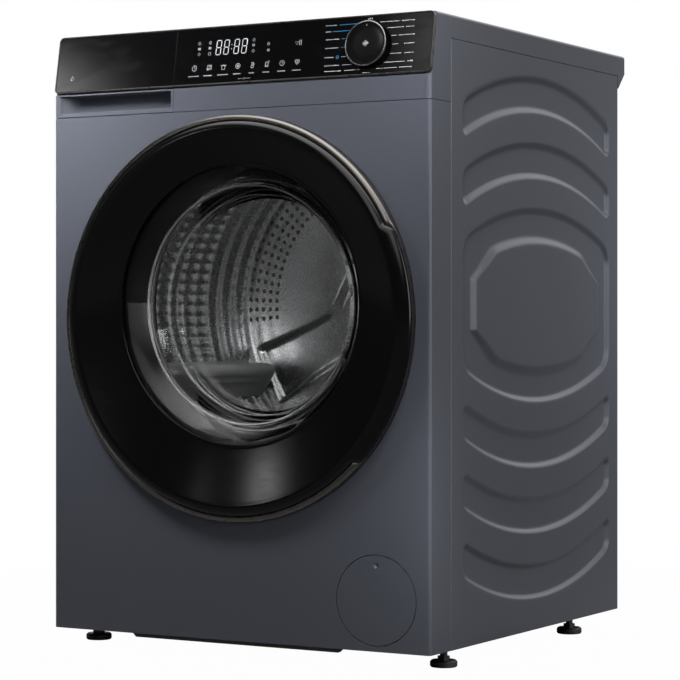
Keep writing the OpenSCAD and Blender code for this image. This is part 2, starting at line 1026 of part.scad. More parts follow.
// Champagne ring around the door, with the finger grip's notch on the right
module door_ring()
  color(champagne)
    difference() {
      door_axis()
        rotate_extrude($fn = 180)
          polygon([[cover_r + 0.2, -ring_proud], [ring_r - ring_edge, -ring_proud],
                   [ring_r, -ring_proud + ring_edge], [ring_r, -door_gap],
                   [cover_r - ring_lap, -door_gap], [cover_r - ring_lap, -ring_proud + rim_wall + 0.2],
                   [cover_r + 0.2, -ring_proud + rim_wall + 0.2]]);
      door_axis()
        rotate([0, 0, -grip_to])
          rotate_extrude(angle = grip_to - grip_from, $fn = 180)
            translate([cover_r - slice, -ring_proud - cut])
              square([2 * ring_face, grip_t + grip_play + cut]);
      hinge_space();
    }

// Point of the cover's front face at a radius, on the bulge near the rim
function bulge_y(r) = -door_proud + (door_proud - ring_proud - 0.6)
  * pow((r - crest_r) / (cover_r - crest_r), 2);

module funnel(grow)
  hull() {
    door_axis()
      translate([0, 0, bulge_y(funnel_r) - slice + grow])
        cylinder(r = funnel_r + grow, h = slice);
    drum_axis()
      translate([0, 0, window_y + grow - slice])
        cylinder(r = window_r + grow, h = slice);
  }

// Black glossy cover: a bulged rim that slopes inwards to the window, and the grip's lip
module door_cover()
  color(black_gloss)
    difference() {
      union() {
        door_axis()
          rotate_extrude($fn = 180)
            polygon(concat([for (i = [0 : 8]) let (r = funnel_r
                                                   + (cover_r - funnel_r) * i / 8) [r, bulge_y(r)]],
                           [[cover_r, -ring_proud + rim_wall],
                            [funnel_r, bulge_y(funnel_r) + cover_t]]));
        funnel(cover_t);
        door_axis()
          rotate([0, 0, -grip_to + grip_play])
            rotate_extrude(angle = grip_to - grip_from - 2 * grip_play, $fn = 180)
              translate([cover_r - slice, -ring_proud])
                square([ring_face + slice, grip_t]);
      }
      funnel(0);
      door_axis()
        translate([0, 0, -door_proud - 20])
          cylinder(r = funnel_r, h = 20 + door_proud + bulge_y(funnel_r));
      drum_axis()
        translate([0, 0, -cut])
          cylinder(r = window_r, h = 20);
      hinge_space();
    }

bowl_t = 5;
bowl_flange_y = window_y + cover_t + 0.4;
flange_t = 4;
frame_front = 12;
frame_ledge = 5;
collar_rim = 20;
hook_wall = 3;

// Plastic frame behind the cover, with the collar that holds the glass bowl
module door_inner_frame()
  color(grey_plastic)
    difference() {
      union() {
        door_axis()
          translate([0, 0, -frame_front])
            cylinder(r = cover_r - ring_lap - seat, h = frame_front - door_gap - seat);
        drum_axis()
          cylinder(r = collar_r, h = bowl_flange_y + flange_t + hook_wall);
        drum_axis()
          translate([0, 0, -6])
            cylinder(r = collar_r + collar_rim, h = 10);
        latch_place()
          cube([2 * (hook_half + hook_wall), 10, 14], center = true);
      }
      drum_axis()
        translate([0, 0, -collar_rim])
          cylinder(r = collar_r - frame_ledge, h = collar_rim + bowl_flange_y + flange_t + seat);
      drum_axis()
        cylinder(r = window_r + 0.5, h = 2 * collar_rim);
      funnel(cover_t + seat);
      hinge_space();
      hinge_axis()
        cube([2 * leaf_reach + 1, 40, 2 * leaf_half + 1], center = true);
      latch_place() {
        rotate([0, 90, 0])
          cylinder(r = hook_pin_r + seat, h = 2 * (hook_half + seat), center = true);
        translate([0, 0, 3])
          cube([7.2, 30, 30], center = true);
      }
    }

// Pressed glass bowl that reaches into the gasket
module door_glass()
  color(clear)
    drum_axis()
      rotate_extrude($fn = 120)
        polygon([[collar_r - frame_ledge - seat, bowl_flange_y],
                 [collar_r - frame_ledge - seat, bowl_flange_y + flange_t],
                 [window_r - 1, bowl_flange_y + flange_t],
                 [bowl_r + 2, bowl_flange_y + 28], [bowl_r - 17, bowl_depth - 10],
                 [bowl_r - 26, bowl_depth - 1], [0, bowl_depth],
                 [0, bowl_depth - bowl_t], [bowl_r - 28, bowl_depth - bowl_t - 1.5],
                 [bowl_r - 22.5, bowl_depth - 13], [bowl_r - 3.5, bowl_flange_y + 26],
                 [window_r - 6, bowl_flange_y]]);

leaf_reach = 30;
leaf_t = 3;

// Steel leaf of the hinge, screwed to the door's frame
module hinge_leaf()
  color(zinc)
    hinge_axis()
      difference() {
        union() {
          cylinder(r = knuckle_r, h = 2 * leaf_half, center = true);
          translate([0, knuckle_r - leaf_t, -leaf_half])
            cube([leaf_reach, leaf_t, 2 * leaf_half]);
        }
        cylinder(r = pin_r + push_clear, h = 4 * leaf_half, center = true);
      }

plate_x = 9;
plate_w = 30;
plate_t = 3;
plate_over = 12;
pin_over = 3;

// Fixed half of the hinge: a plate in the dish with two curved-back lugs
module hinge_bracket()
  color(zinc)
    hinge_axis() {
      plate_y = dish_depth - hinge_y;
      difference() {
        union() {
          translate([plate_x, plate_y - plate_t - 0.2, -lug_z - plate_over])
            cube([plate_w, plate_t, 2 * (lug_z + plate_over)]);
          for (s = [-1, 1])
            translate([0, 0, s * lug_z - lug_h / 2]) {
              cylinder(r = knuckle_r, h = lug_h);
              linear_extrude(lug_h)
                polygon([[2, -3], [plate_x + 7, plate_y - plate_t - press_clear],
                         [plate_x, plate_y - plate_t - press_clear],
                         [-2.5, 2.5]]);
            }
        }
        cylinder(r = pin_r + push_clear, h = 4 * lug_z, center = true);
      }
    }

module hinge_pin()
  color(steel)
    hinge_axis()
      cylinder(r = pin_r, h = 2 * (lug_z + pin_over) + lug_h, center = true);

hook_pin_r = 3;
hook_half = 8;
hook_t = 6;
hook_len = 26;
hook_h = 10;
hook_tip = 15;

module latch_place()
  from_front()
    translate([axis_x + latch_r, 0, door_z])
      children();

// Sprung hook that the lock holds
module latch_hook()
  color(steel)
    latch_place() {
      rotate([0, 90, 0])
        cylinder(r = hook_pin_r, h = 2 * hook_half, center = true);
      translate([-hook_t / 2, 0, -hook_h / 2])
        cube([hook_t, hook_len, hook_h]);
      translate([-hook_t / 2, hook_len - hook_t, -hook_h / 2])
        cube([hook_t, hook_t, hook_tip]);
    }

lock_half_h = 42;
lock_depth = 22;
lock_left = 13;
lock_right = 17;
lock_play = 6.5;
lock_floor = 4;

// Electric door lock behind the front panel
module door_lock()
  color(white_plastic)
    from_front() {
      y0 = dish_depth + sheet + 0.2;
      difference() {
        block([axis_x + latch_r - lock_left, y0, door_z - lock_half_h],
              [axis_x + latch_r + lock_right, y0 + lock_depth, door_z + lock_half_h]);
        block([axis_x + latch_r - lock_play, y0 - cut, door_z - lock_slot[1] / 2],
              [axis_x + latch_r + lock_play, y0 + lock_depth - lock_floor, door_z + lock_slot[1] / 2]);
      }
    }

// Rubber bellows between the porthole and the tub
module door_gasket()
  color(rubber)
    drum_axis()
      rotate_extrude($fn = 120)
        polygon([[port_r - 0.3, dish_depth + 4], [port_r - 0.3, 26], [port_r - 6, 34],
                 [port_r - 6, 46], [tub_open_r + 6, 52], [tub_open_r + 6, 60],
                 [tub_open_r - 0.3, 62], [tub_open_r - 0.3, 74], [tub_open_r - 12, 88],
                 [tub_open_r - 15, 87], [tub_open_r - 3.5, 72], [tub_open_r - 3.5, 58],
                 [tub_open_r + 2, 56], [port_r - 10, 44], [port_r - 10, 32],
                 [bowl_r + 9.5, 36], [bowl_r + 8, 33], [port_r - 4, 22],
                 [port_r - 4, dish_depth + 4]]);

// Wire and band that hold the gasket on the porthole's collar
module gasket_clamp()
  color(steel)
    drum_axis()
      ring(port_r - 4.2, port_r - 5.4, dish_depth + 6, dish_depth + 12);

// ---- tub ----

tub_flange = 5;
hub_r = 44;
hub_y1 = tub_y1 + 45;
shaft_r = 15;
bearing_r = 31;
sump_x = 130;
sump_y = 96;
sump_top = drum_z - tub_rise(sump_x);
sump_r = 20;
fill_x = -150;
fill_y = 285;
fill_bottom = drum_z + tub_rise(fill_x);
inlet_end_y = 285;
well_half = 50;
well_z = 192;
ear_half = 14;
fill_r = 17;
sump_t = 3;
sump_len = 46;
sump_below = 34;
rim_h = 7;
collar_len = 12;

// Front shell of the tub with the gasket's collar
module tub_front()
  color(white_plastic)
    difference() {
      union() {
        drum_axis() {
          cylinder_shell(tub_y0, tub_split - press_clear);
          ring(tub_r, tub_open_r, tub_y0, tub_y0 + tub_t);
          ring(tub_open_r + 4, tub_open_r, tub_y0 - collar_len, tub_y0 + tub_t);
          ring(tub_r + tub_flange, tub_r - tub_t, tub_split - rim_h, tub_split - press_clear);
        }
        from_front()
          translate([sump_x, sump_y, sump_top - sump_below])
            cylinder(r = sump_r, h = sump_len);
        from_front()
          mirror_about_axis()
            damper_lug();
      }
      drum_axis()
        translate([0, 0, tub_y0 + tub_t])
          cylinder(r = tub_r - tub_t, h = tub_split);
      from_front()
        translate([sump_x, sump_y, sump_top - sump_below - cut])
          cylinder(r = sump_r - sump_t, h = sump_len + 14);
    }

module cylinder_shell(y0, y1)
  ring(tub_r, tub_r - tub_t, y0, y1);

// Both sides of the drum's axis
module mirror_about_axis() {
  children();
  translate([2 * axis_x, 0, 0])
    mirror([1, 0, 0])
      children();
}

// Lug that a damper's rod hangs from
module damper_lug()
  for (y = damper_ears)
    block([damper_high[0] - 14, y, damper_high[1] - 12],
          [damper_high[0] + 12, y + ear_t, damper_high[1] + 34]);

rib_count = 12;
rib_t = 4;
rib_rise = 24;
rib_ring_r = 150;
well_t = 4;
well_lap = 14;
ear_foot = 110;

// Rear shell with its ribs, bearing hub, spring ears and the heater's well
module tub_rear()
  color(white_plastic)
    difference() {
      union() {
        drum_axis() {
          cylinder_shell(tub_split + press_clear, tub_y1);
          ring(tub_r + tub_flange, tub_r - tub_t, tub_split + press_clear, tub_split + rim_h);
          translate([0, 0, tub_y1 - tub_t])
            cylinder(r = tub_r, h = tub_t);
          cylinder_hub();
          for (i = [0 : rib_count - 1])
            rotate([0, 0, i * 360 / rib_count])
              translate([0, -rib_t / 2, tub_y1 - eps])
                cube([tub_r - 6, rib_t, rib_rise]);
          ring(tub_r - 6, tub_r - 6 - tub_t, tub_y1 - eps, tub_y1 + rib_rise);
          ring(rib_ring_r, rib_ring_r - rib_t, tub_y1 - eps, tub_y1 + rib_rise);
        }
        from_front()
          block([axis_x - well_half, tub_split + 8, well_z],
                [axis_x + well_half, tub_y1, drum_z - tub_r + well_lap]);
        from_front()
          mirror_about_axis()
            translate([axis_x + spring_x, spring_y, 0]) {
              block([-ear_half, -ear_half, drum_z + ear_foot],
                    [ear_half, ear_half, spring_bottom - wire_r - seat]);
              translate([0, 0, spring_bottom - wire_r - seat - eps])
                cylinder(r = plug_r, h = plug_len);
            }
        from_front()
          translate([fill_x, fill_y, fill_bottom - 10])
            cylinder(r = fill_r, h = 38);
      }
      drum_axis() {
        translate([0, 0, tub_split])
          cylinder(r = tub_r - tub_t, h = tub_y1 - tub_t - tub_split);
        cylinder(r = bearing_r, h = hub_y1 + cut);
      }
      from_front()
        block([axis_x - well_half + well_t, tub_split + 8 + well_t, well_z + well_t],
              [axis_x + well_half - well_t, tub_y1 - well_t, drum_z - tub_r + 2 * well_lap]);
      from_front()
        for (x = [-heater_half, heater_half])
          rearward(axis_x + x, tub_y1 - tub_t, heater_z)
            cylinder(r = heater_r + press_clear, h = 2 * tub_t);
      from_front()
        translate([fill_x, fill_y, fill_bottom - 12])
          cylinder(r = fill_r - spigot_t, h = 50);
    }

module cylinder_hub()
  translate([0, 0, tub_y1 - 6])
    cylinder(r = hub_r, h = hub_y1 - tub_y1 + 6);

weight_angle = 140;
weight_t = 38;
weight_clear = 12;

// Two concrete arcs bolted to the tub's front
module counterweights()
  color(concrete)
    drum_axis()
      for (a = [200, 20])
        rotate([0, 0, a])
          rotate_extrude(angle = weight_angle, $fn = 120)
            translate([tub_open_r + weight_clear, tub_y0 - weight_t])
              square([tub_r - tub_open_r - 2 * weight_clear, weight_t - seat]);

bearing_w = 14;
seal_groove = 1.5;
seal_r = 20;
seal_w = 6;

// Front and rear ball bearings, pressed in the hub
module drum_bearings()
  color(steel)
    drum_axis()
      for (y = [tub_y1 + 10, tub_y1 + 29])
        rotate_extrude()
          difference() {
            translate([shaft_r + push_clear, y])
              square([bearing_r - shaft_r - push_clear, bearing_w]);
            translate([seal_r, y - cut])
              square([seal_w, seal_groove + cut]);
            translate([seal_r, y + bearing_w - seal_groove])
              square([seal_w, seal_groove + cut]);
          }

heater_half = 26;
heater_r = 3.5;
heater_tail = 12;
heater_lap = 9;
heater_z = 203;
heater_len = 150;

// Tubular heater in the tub's well, with its terminals at the rear
module heater()
  color(copper)
    from_front() {
      for (x = [-heater_half, heater_half])
        rearward(axis_x + x, tub_y1 - heater_len, heater_z)
          cylinder(r = heater_r, h = heater_len + heater_tail);
      translate([axis_x, tub_y1 - heater_len, heater_z])
        rotate([0, 0, 180])
          rotate_extrude(angle = 180)
            translate([heater_half, 0])
              circle(heater_r);
      block([axis_x - heater_half - heater_lap, tub_y1 + 0.2, heater_z - heater_lap],
            [axis_x + heater_half + heater_lap, tub_y1 + 4, heater_z + heater_lap]);
    }

motor_x = 110;
motor_z = 150;
motor_y0 = tub_y1 - 150;
motor_y1 = tub_y1 + 20;
belt_y = tub_y1 + 64;
belt_w = 14;
shield_h = 20;
shield_in = 6;
rotor_r = 6;
mount_half = 50;
mount_t = 14;

// Motor with its end shields and the brackets that hang it under the tub
module drive_motor()
  color(grey_plastic)
    difference() {
      union() {
        from_front()
          rearward(motor_x, motor_y0, motor_z) {
            cylinder(r = motor_d / 2 - shield_in, h = shield_h);
            translate([0, 0, shield_h - eps])
              cylinder(r = motor_d / 2, h = motor_y1 - motor_y0 - 2 * shield_h);
            translate([0, 0, motor_y1 - motor_y0 - shield_h - eps])
              cylinder(r = motor_d / 2 - shield_in, h = shield_h);
          }
        from_front()
          for (y = [motor_y0 + shield_h + 2, motor_y1 - shield_h - 18])
            block([motor_x - mount_half, y, motor_z + motor_d / 2 - 22],
                  [motor_x + mount_half, y + mount_t, drum_z - tub_r + 51]);
      }
      drum_axis()
        translate([0, 0, tub_split])
          cylinder(r = tub_r + seat, h = body_d - tub_split);
      from_front()
        rearward(motor_x, motor_y0 + 8, motor_z)
          cylinder(r = rotor_r + 0.06, h = 200);
    }

// Motor shaft with its grooved pulley
module motor_pulley()
  color(steel)
    from_front()
      rearward(motor_x, motor_y0 + 10, motor_z) {
        cylinder(r = rotor_r, h = belt_y + belt_w / 2 + 3 - motor_y0 - 10);
        translate([0, 0, belt_y - belt_w / 2 - 2 - motor_y0 - 10])
          cylinder(r = motor_pulley_d / 2, h = belt_w + 4);
      }

belt_t = 2.5;
belt_clear = 0.3;

module belt_line(extra)
  hull() {
    translate([axis_x, -drum_z])
      circle(pulley_d / 2 + extra);
    translate([motor_x, -motor_z])
      circle(motor_pulley_d / 2 + extra);
  }

// Ribbed belt from the motor to the drum's pulley
module drive_belt()
  color(rubber)
    from_front()
      rearward(0, belt_y - belt_w / 2, 0)
        linear_extrude(belt_w)
          difference() {
            belt_line(belt_clear + belt_t);
            belt_line(belt_clear);
          }

// Frame of a damper, from its lower eye towards its upper eye
damper_tilt = atan((damper_low[0] - damper_high[0]) / (damper_high[1] - damper_low[1]));
damper_len = (damper_high[1] - damper_low[1]) / cos(damper_tilt);
damper_r = 14;
damper_t = 2.5;
tube_len = 125;
tube_floor = 12;
rod_r = 5.5;
rod_start = 40;
eye_r = 8;

module along_damper()
  from_front()
    mirror_about_axis()
      translate([damper_low[0], damper_y, damper_low[1]])
        rotate([0, -damper_tilt, 0])
          children();

module damper_eye(r)
  rotate([90, 0, 0])
    cylinder(r = r, h = 2 * eye_half, center = true);

// Friction dampers' outer tubes on the base
module damper_cylinders()
  color(dark_plastic)
    along_damper() {
      damper_eye(eye_r);
      difference() {
        cylinder(r = damper_r, h = tube_len);
        translate([0, 0, tube_floor])
          cylinder(r = damper_r - damper_t, h = tube_len);
      }
    }

// Damper rods, hung from the tub
module damper_rods()
  color(steel)
    along_damper()
      translate([0, 0, rod_start]) {
        cylinder(r = rod_r, h = damper_len - rod_start);
        translate([0, 0, damper_len - rod_start])
          damper_eye(eye_r);
      }

// Points of one ring of the spring's wire
function coil_ring(i, n, sides) = let (a = 360 * i / n, h = spring_top - spring_bottom,
                                       z = h * i / (n * spring_turns))
  [for (k = [0 : sides - 1]) let (t = 360 * k / sides)
   [(spring_r + wire_r * cos(t)) * cos(a), (spring_r + wire_r * cos(t)) * sin(a),
    z + wire_r * sin(t)]];

module coil() {
  n = 12;
  sides = 6;
  rings = n * spring_turns;
  pts = [for (i = [0 : rings]) each coil_ring(i, n, sides)];
  walls = [for (i = [0 : rings - 1], k = [0 : sides - 1])
           [i * sides + k, i * sides + (k + 1) % sides,
            (i + 1) * sides + (k + 1) % sides, (i + 1) * sides + k]];
  polyhedron(points = pts,
             faces = concat([[for (k = [sides - 1 : -1 : 0]) k]],
                            walls, [[for (k = [0 : sides - 1]) rings * sides + k]]),
             convexity = 10);
}

// Two springs that carry the tub
module suspension_springs()
  color(steel)
    from_front()
      for (s = [-1, 1])
        translate([axis_x + s * spring_x, spring_y, spring_bottom])
          coil();

// ---- drum ----

drum_t = 1.5;
bead_r = 3;
back_y = drum_y1 - 14;
arm_angles = [30, 150, 270];

// Stainless drum wall with its rolled front
module drum_wall()
  color(steel)
    drum_axis() {
      ring(drum_r, drum_r - drum_t, drum_y0, drum_y1);
      ring(drum_r - drum_t + eps, drum_open_r, drum_y0, drum_y0 + drum_t);
      rotate_extrude($fn = 120)
        translate([drum_open_r + 2, drum_y0 + 2])
          circle(bead_r);
    }

arm_w = 52;
arm_depth = 9;
arm_short = 34;
star_hub_r = 60;
hole_r = 3.2;
hole_step = 12;
hole_turn = 3.76;
hole_rows = 5;
hole_half = 7;
first_hole = 8;

// A rounded arm outline that reaches from the middle to the rim
module arm_outline(width)
  for (a = arm_angles)
    rotate([0, 0, a]) {
      translate([0, -width / 2])
        square([drum_r - arm_short, width]);
      translate([drum_r - arm_short, 0])
        circle(width / 2);
    }

// Drum back: a plate with a pressed three-armed star and bands of holes
module drum_back()
  color(steel)
    drum_axis()
      difference() {
        union() {
          translate([0, 0, back_y])
            cylinder(r = drum_r - drum_t - 0.1, h = drum_t);
          translate([0, 0, back_y])
            linear_extrude(arm_depth + drum_t)
              arm_outline(arm_w + 2 * drum_t);
          translate([0, 0, back_y])
            cylinder(r = star_hub_r + 2, h = arm_depth + drum_t);
          ring(drum_r - drum_t - 0.1, drum_r - 2 * drum_t - 0.1, back_y, drum_y1);
        }
        translate([0, 0, back_y - cut])
          linear_extrude(arm_depth + cut)
            arm_outline(arm_w);
        translate([0, 0, back_y - cut])
          cylinder(r = star_hub_r, h = arm_depth + cut);
        for (a = arm_angles, i = [0 : hole_rows - 1], j = [-hole_half : hole_half])
          rotate([0, 0, a + 60 + j * hole_turn])
            translate([drum_r - first_hole - i * hole_step, 0, back_y - cut])
              cylinder(r = hole_r, h = drum_t + 2 * cut, $fn = 6);
      }

lifter_h = 46;
lifter_w = 64;
lifter_start = 16;
lifter_short = 42;
lifter_crest = 9;

// Three hollow paddles that lift the laundry
module drum_lifters()
  color(white_plastic)
    drum_axis()
      intersection() {
        for (a = [150, 270, 30])
          rotate([0, 0, a])
            translate([0, 0, drum_y0 + lifter_start])
              linear_extrude(drum_depth - lifter_short)
                union() {
                  polygon([[drum_r, -lifter_w / 2], [drum_r, lifter_w / 2],
                           [drum_r - lifter_h + lifter_crest, lifter_crest],
                           [drum_r - lifter_h + lifter_crest, -lifter_crest]]);
                  translate([drum_r - lifter_h + lifter_crest, 0])
                    circle(lifter_crest);
                }
        cylinder(r = drum_r - drum_t - 0.2, h = body_d);
      }

spider_w = 28;
spider_t = 14;
spider_short = 12;
spider_hub_r = 46;
spider_hub_h = 22;

// Cast spider behind the drum, with its steel shaft
module drum_spider()
  color(grey_plastic)
    drum_axis() {
      y0 = back_y + arm_depth + drum_t + 0.2;
      for (a = arm_angles)
        rotate([0, 0, a])
          translate([0, -spider_w / 2, y0])
            cube([drum_r - spider_short, spider_w, spider_t]);
      translate([0, 0, y0])
        cylinder(r = spider_hub_r, h = spider_hub_h);
      translate([0, 0, y0])
        cylinder(r = shaft_r, h = belt_y + belt_w / 2 + 8 - y0);
    }

spoke_count = 6;
spoke_w = 18;
spoke_t = 7;
pulley_rim = 7;
pulley_hub_r = 34;

// Belt pulley with six spokes
module drum_pulley()
  color(zinc)
    drum_axis() {
      y0 = belt_y - belt_w / 2;
      ring(pulley_d / 2, pulley_d / 2 - pulley_rim, y0 - 1, y0 + belt_w + 1);
      difference() {
        union() {
          translate([0, 0, y0 - 2])
            cylinder(r = pulley_hub_r, h = belt_w + 6);
          for (i = [0 : spoke_count - 1])
            rotate([0, 0, i * 360 / spoke_count])
              translate([20, -spoke_w / 2, y0 + 3])
                cube([pulley_d / 2 - 24, spoke_w, spoke_t]);
        }
        cylinder(r = shaft_r + push_clear, h = body_d);
      }
    }

// ---- water parts ----

valve_port_r = 13.2;
valve_port_len = 15;
valve_bore_r = 9;
valve_half = 22;
valve_len = 42;
valve_tail = 56;

// Inlet valve with the threaded port for the supply hose
module inlet_valve()
  color(white_plastic)
    from_front() {
      block([valve_x - valve_half, body_d - valve_len, valve_z - valve_half + 2],
            [valve_x + valve_half, body_d - sheet - seat, valve_z + valve_half]);
      difference() {
        rearward(valve_x, body_d - 8, valve_z)
          cylinder(r = valve_port_r, h = 8 + valve_port_len);
        rearward(valve_x, body_d, valve_z)
          cylinder(r = valve_bore_r, h = valve_port_len + cut);
      }
      rearward(valve_x, body_d - valve_tail, valve_z)
        cylinder(r = 6, h = 16);
    }

inlet_bend = 30;
inlet_r = 7.5;

// Hose from the inlet valve to the dispenser
module inlet_hose()
  color(rubber)
    from_front() {
      y_end = inlet_end_y + inlet_bend;
      x_end = bay_x1 + inlet_spigot + seat;
      rearward(valve_x, y_end, valve_z)
        cylinder(r = inlet_r, h = body_d - valve_tail - seat - y_end);
      translate([valve_x - inlet_bend, y_end, valve_z])
        rotate([0, 0, -90])
          rotate_extrude(angle = 90)
            translate([inlet_bend, 0])
              circle(inlet_r);
      translate([x_end, inlet_end_y, valve_z])
        rotate([0, 90, 0])
          cylinder(r = inlet_r, h = valve_x - inlet_bend - x_end);
    }

pump_r = 36;
pump_len = 90;
housing_r = 26;
housing_len = 50;
elbow_r = 13;
elbow_end_r = 16;
foot_w = 40;
hose_start = 80;
hose_y0 = 102.3;
filter_r = 24;
sump_low = 140;
well_floor = 24;

// Drain pump with the filter's well behind the flap and its inlet elbow
module drain_pump()
  color(grey_plastic)
    from_front()
      difference() {
        union() {
          rearward(flap_x, sheet + 0.2, flap_z)
            cylinder(r = flap_d / 2 + 4, h = well_floor + 3 - sheet);
          rearward(flap_x, 16, flap_z)
            cylinder(r = pump_r, h = pump_len);
          rearward(flap_x, 105, flap_z)
            cylinder(r = housing_r, h = housing_len);
          translate([sump_x, sump_y, flap_z + 8]) {
            rotate([0, 90, 0])
              cylinder(r = elbow_r, h = flap_x - sump_x - 20);
            translate([0, 0, -15])
              cylinder(r = elbow_end_r, h = sump_low - flap_z + 2);
          }
          translate([sump_x, sump_y, sump_low - 8])
            cylinder(r = sump_r + 4, h = 8 - seat);
          translate([sump_x, sump_y, sump_low - 8])
            cylinder(r = sump_r, h = 20);
          rearward(hose_x, hose_start, hose_z)
            cylinder(r = hose_r - 2, h = hose_y0 - seat - hose_start);
          translate([flap_x + 10, hose_start, hose_z])
            block([0, 0, -8], [hose_x - flap_x - 10, 16, 8]);
          translate([flap_x - foot_w / 2, 40, floor_gap + base_t + 0.2])
            cube([foot_w, 50, 30]);
        }
        difference() {
          rearward(flap_x, -cut, flap_z)
            cylinder(r = flap_d / 2 + 1.5, h = well_floor + cut);
          block([flap_x - tongue_half, flap_t + 0.5, flap_hinge_z - 8],
                [flap_x + tongue_half, flap_t + tongue_len, flap_hinge_z - seat]);
        }
        rearward(flap_x, -cut, flap_z)
          cylinder(r = filter_r + 0.5, h = 95);
      }

filter_lap = 4;
filter_grip = 10;
filter_body = 20;
strainer_len = 50;
strainer_t = 3;

// Turning filter behind the flap: grip, cap and strainer
module pump_filter()
  color(white_plastic)
    from_front()
      rearward(flap_x, well_floor - seat, flap_z) {
        translate([0, 0, -filter_lap])
          cylinder(r = filter_r + filter_lap, h = filter_lap);
        translate([0, 0, -filter_lap - filter_grip / 2])
          cube([2 * (filter_r - filter_lap), 6, filter_grip + eps], center = true);
        translate([0, 0, -eps])
          cylinder(r = filter_r, h = filter_body + 2 * eps);
        difference() {
          translate([0, 0, filter_body])
            cylinder(r = filter_r - filter_lap, h = strainer_len);
          translate([0, 0, filter_body + 2])
            cylinder(r = filter_r - filter_lap - strainer_t, h = strainer_len);
        }
      }

dimple_r = 4.5;
dimple_up = 45.5;

// Round flap over the filter, flush with the front panel
module filter_flap()
  color(paint)
    from_front()
      difference() {
        union() {
          rearward(flap_x, 0, flap_z)
            cylinder(r = flap_d / 2, h = flap_t);
          intersection() {
            block([flap_x - tongue_half, flap_t - eps, flap_hinge_z],
                  [flap_x + tongue_half, flap_t + tongue_len, flap_hinge_z + tongue_h]);
            translate([flap_x, flap_hinge_y, flap_hinge_z])
              rotate([0, 90, 0])
                cylinder(r = flap_t + tongue_len - flap_hinge_y, h = 3 * tongue_half,
                         center = true);
          }
        }
        translate([flap_x, -dimple_r / 2, flap_z + dimple_up])
          sphere(r = dimple_r);
      }

// Bellows from the tub's sump to the pump
module sump_hose()
  color(rubber)
    from_front()
      bellows(sump_x, sump_y, sump_low, sump_top - 20, sump_r + seat, 5);

// Bellows from the dispenser to the tub
module fill_hose()
  color(rubber)
    from_front()
      bellows(fill_x, fill_y, fill_bottom + 17, bay_z0 - seat, fill_r + seat, 4);

// An upright corrugated hose
module bellows(x, y, z0, z1, r, folds) {
  step = (z1 - z0) / folds;
  translate([x, y, z0])
    rotate_extrude($fn = 48)
      polygon(concat([for (i = [0 : folds - 1]) each
                      [[r + 2, i * step], [r + 5, (i + 0.5) * step]]],
                     [[r + 2, folds * step], [r, folds * step], [r, 0]]));
}

// Drain hose along the right side to its beaded outlet at the back
module drain_hose()
  color(grey_plastic)
    from_front()
      rearward(hose_x, hose_y0, hose_z)
        difference() {
          reach = body_d + outlet_bead - hose_y0;
          union() {
            cylinder(r = hose_r, h = reach);
            translate([0, 0, reach - outlet_bead + seat])
              cylinder(r = hose_r + outlet_bead, h = outlet_bead - seat);
            cylinder(r = outlet_r, h = reach + outlet_len);
          }
          translate([0, 0, -cut])
            cylinder(r = hose_r - hose_t, h = body_d);
        }

// Caps over the transit bolt holes
module transit_plugs()
  color(grey_plastic)
    from_front()
      for (x = [-transit_x, transit_x], z = transit_z)
        rearward(x, body_d - plug_depth, z) {
          cylinder(r = transit_r - 0.2, h = plug_depth + eps);
          translate([0, 0, plug_depth])
            cylinder(r = transit_r + plug_lap, h = plug_head);
        }

// Cable gland of the mains inlet
module power_gland()
  color(dark_plastic)
    from_front()
      difference() {
        union() {
          rearward(gland_x, body_d - 12, gland_z)
            cylinder(r = gland_r - press_clear, h = 14);
          rearward(gland_x, body_d + press_clear, gland_z)
            cylinder(r = gland_r + gland_lap, h = gland_head);
        }
        rearward(gland_x, body_d - 20, gland_z)
          cylinder(r = gland_bore_r, h = 40);
      }

side_panel_left();
side_panel_right();
front_panel();
rear_panel();
rear_access_cover();
top_cover();
base_frame();
cross_brace();
console_housing();
control_glass();
panel_trim();
control_board();
dispenser_housing();
inlet_valve();
inlet_hose();
drain_pump();
drain_hose();
door_gasket();
gasket_clamp();
door_lock();
hinge_bracket();
damper_cylinders();
suspension_springs();
sump_hose();
fill_hose();
transit_plugs();
power_gland();
door_ring();
door_cover();
door_inner_frame();
door_glass();
hinge_leaf();
hinge_pin();
latch_hook();
drawer_front();
drawer_glass();
drawer_trim();
drawer_tray();
siphon_cap();
program_knob();
filter_flap();
pump_filter();
tub_front();
tub_rear();
counterweights();
drum_bearings();
heater();
drive_motor();
drive_belt();
damper_rods();
drum_wall();
drum_back();
drum_lifters();
drum_spider();
drum_pulley();
motor_pulley();
foot_front_left();
foot_front_right();
foot_rear_left();
foot_rear_right();
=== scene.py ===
import json
import math

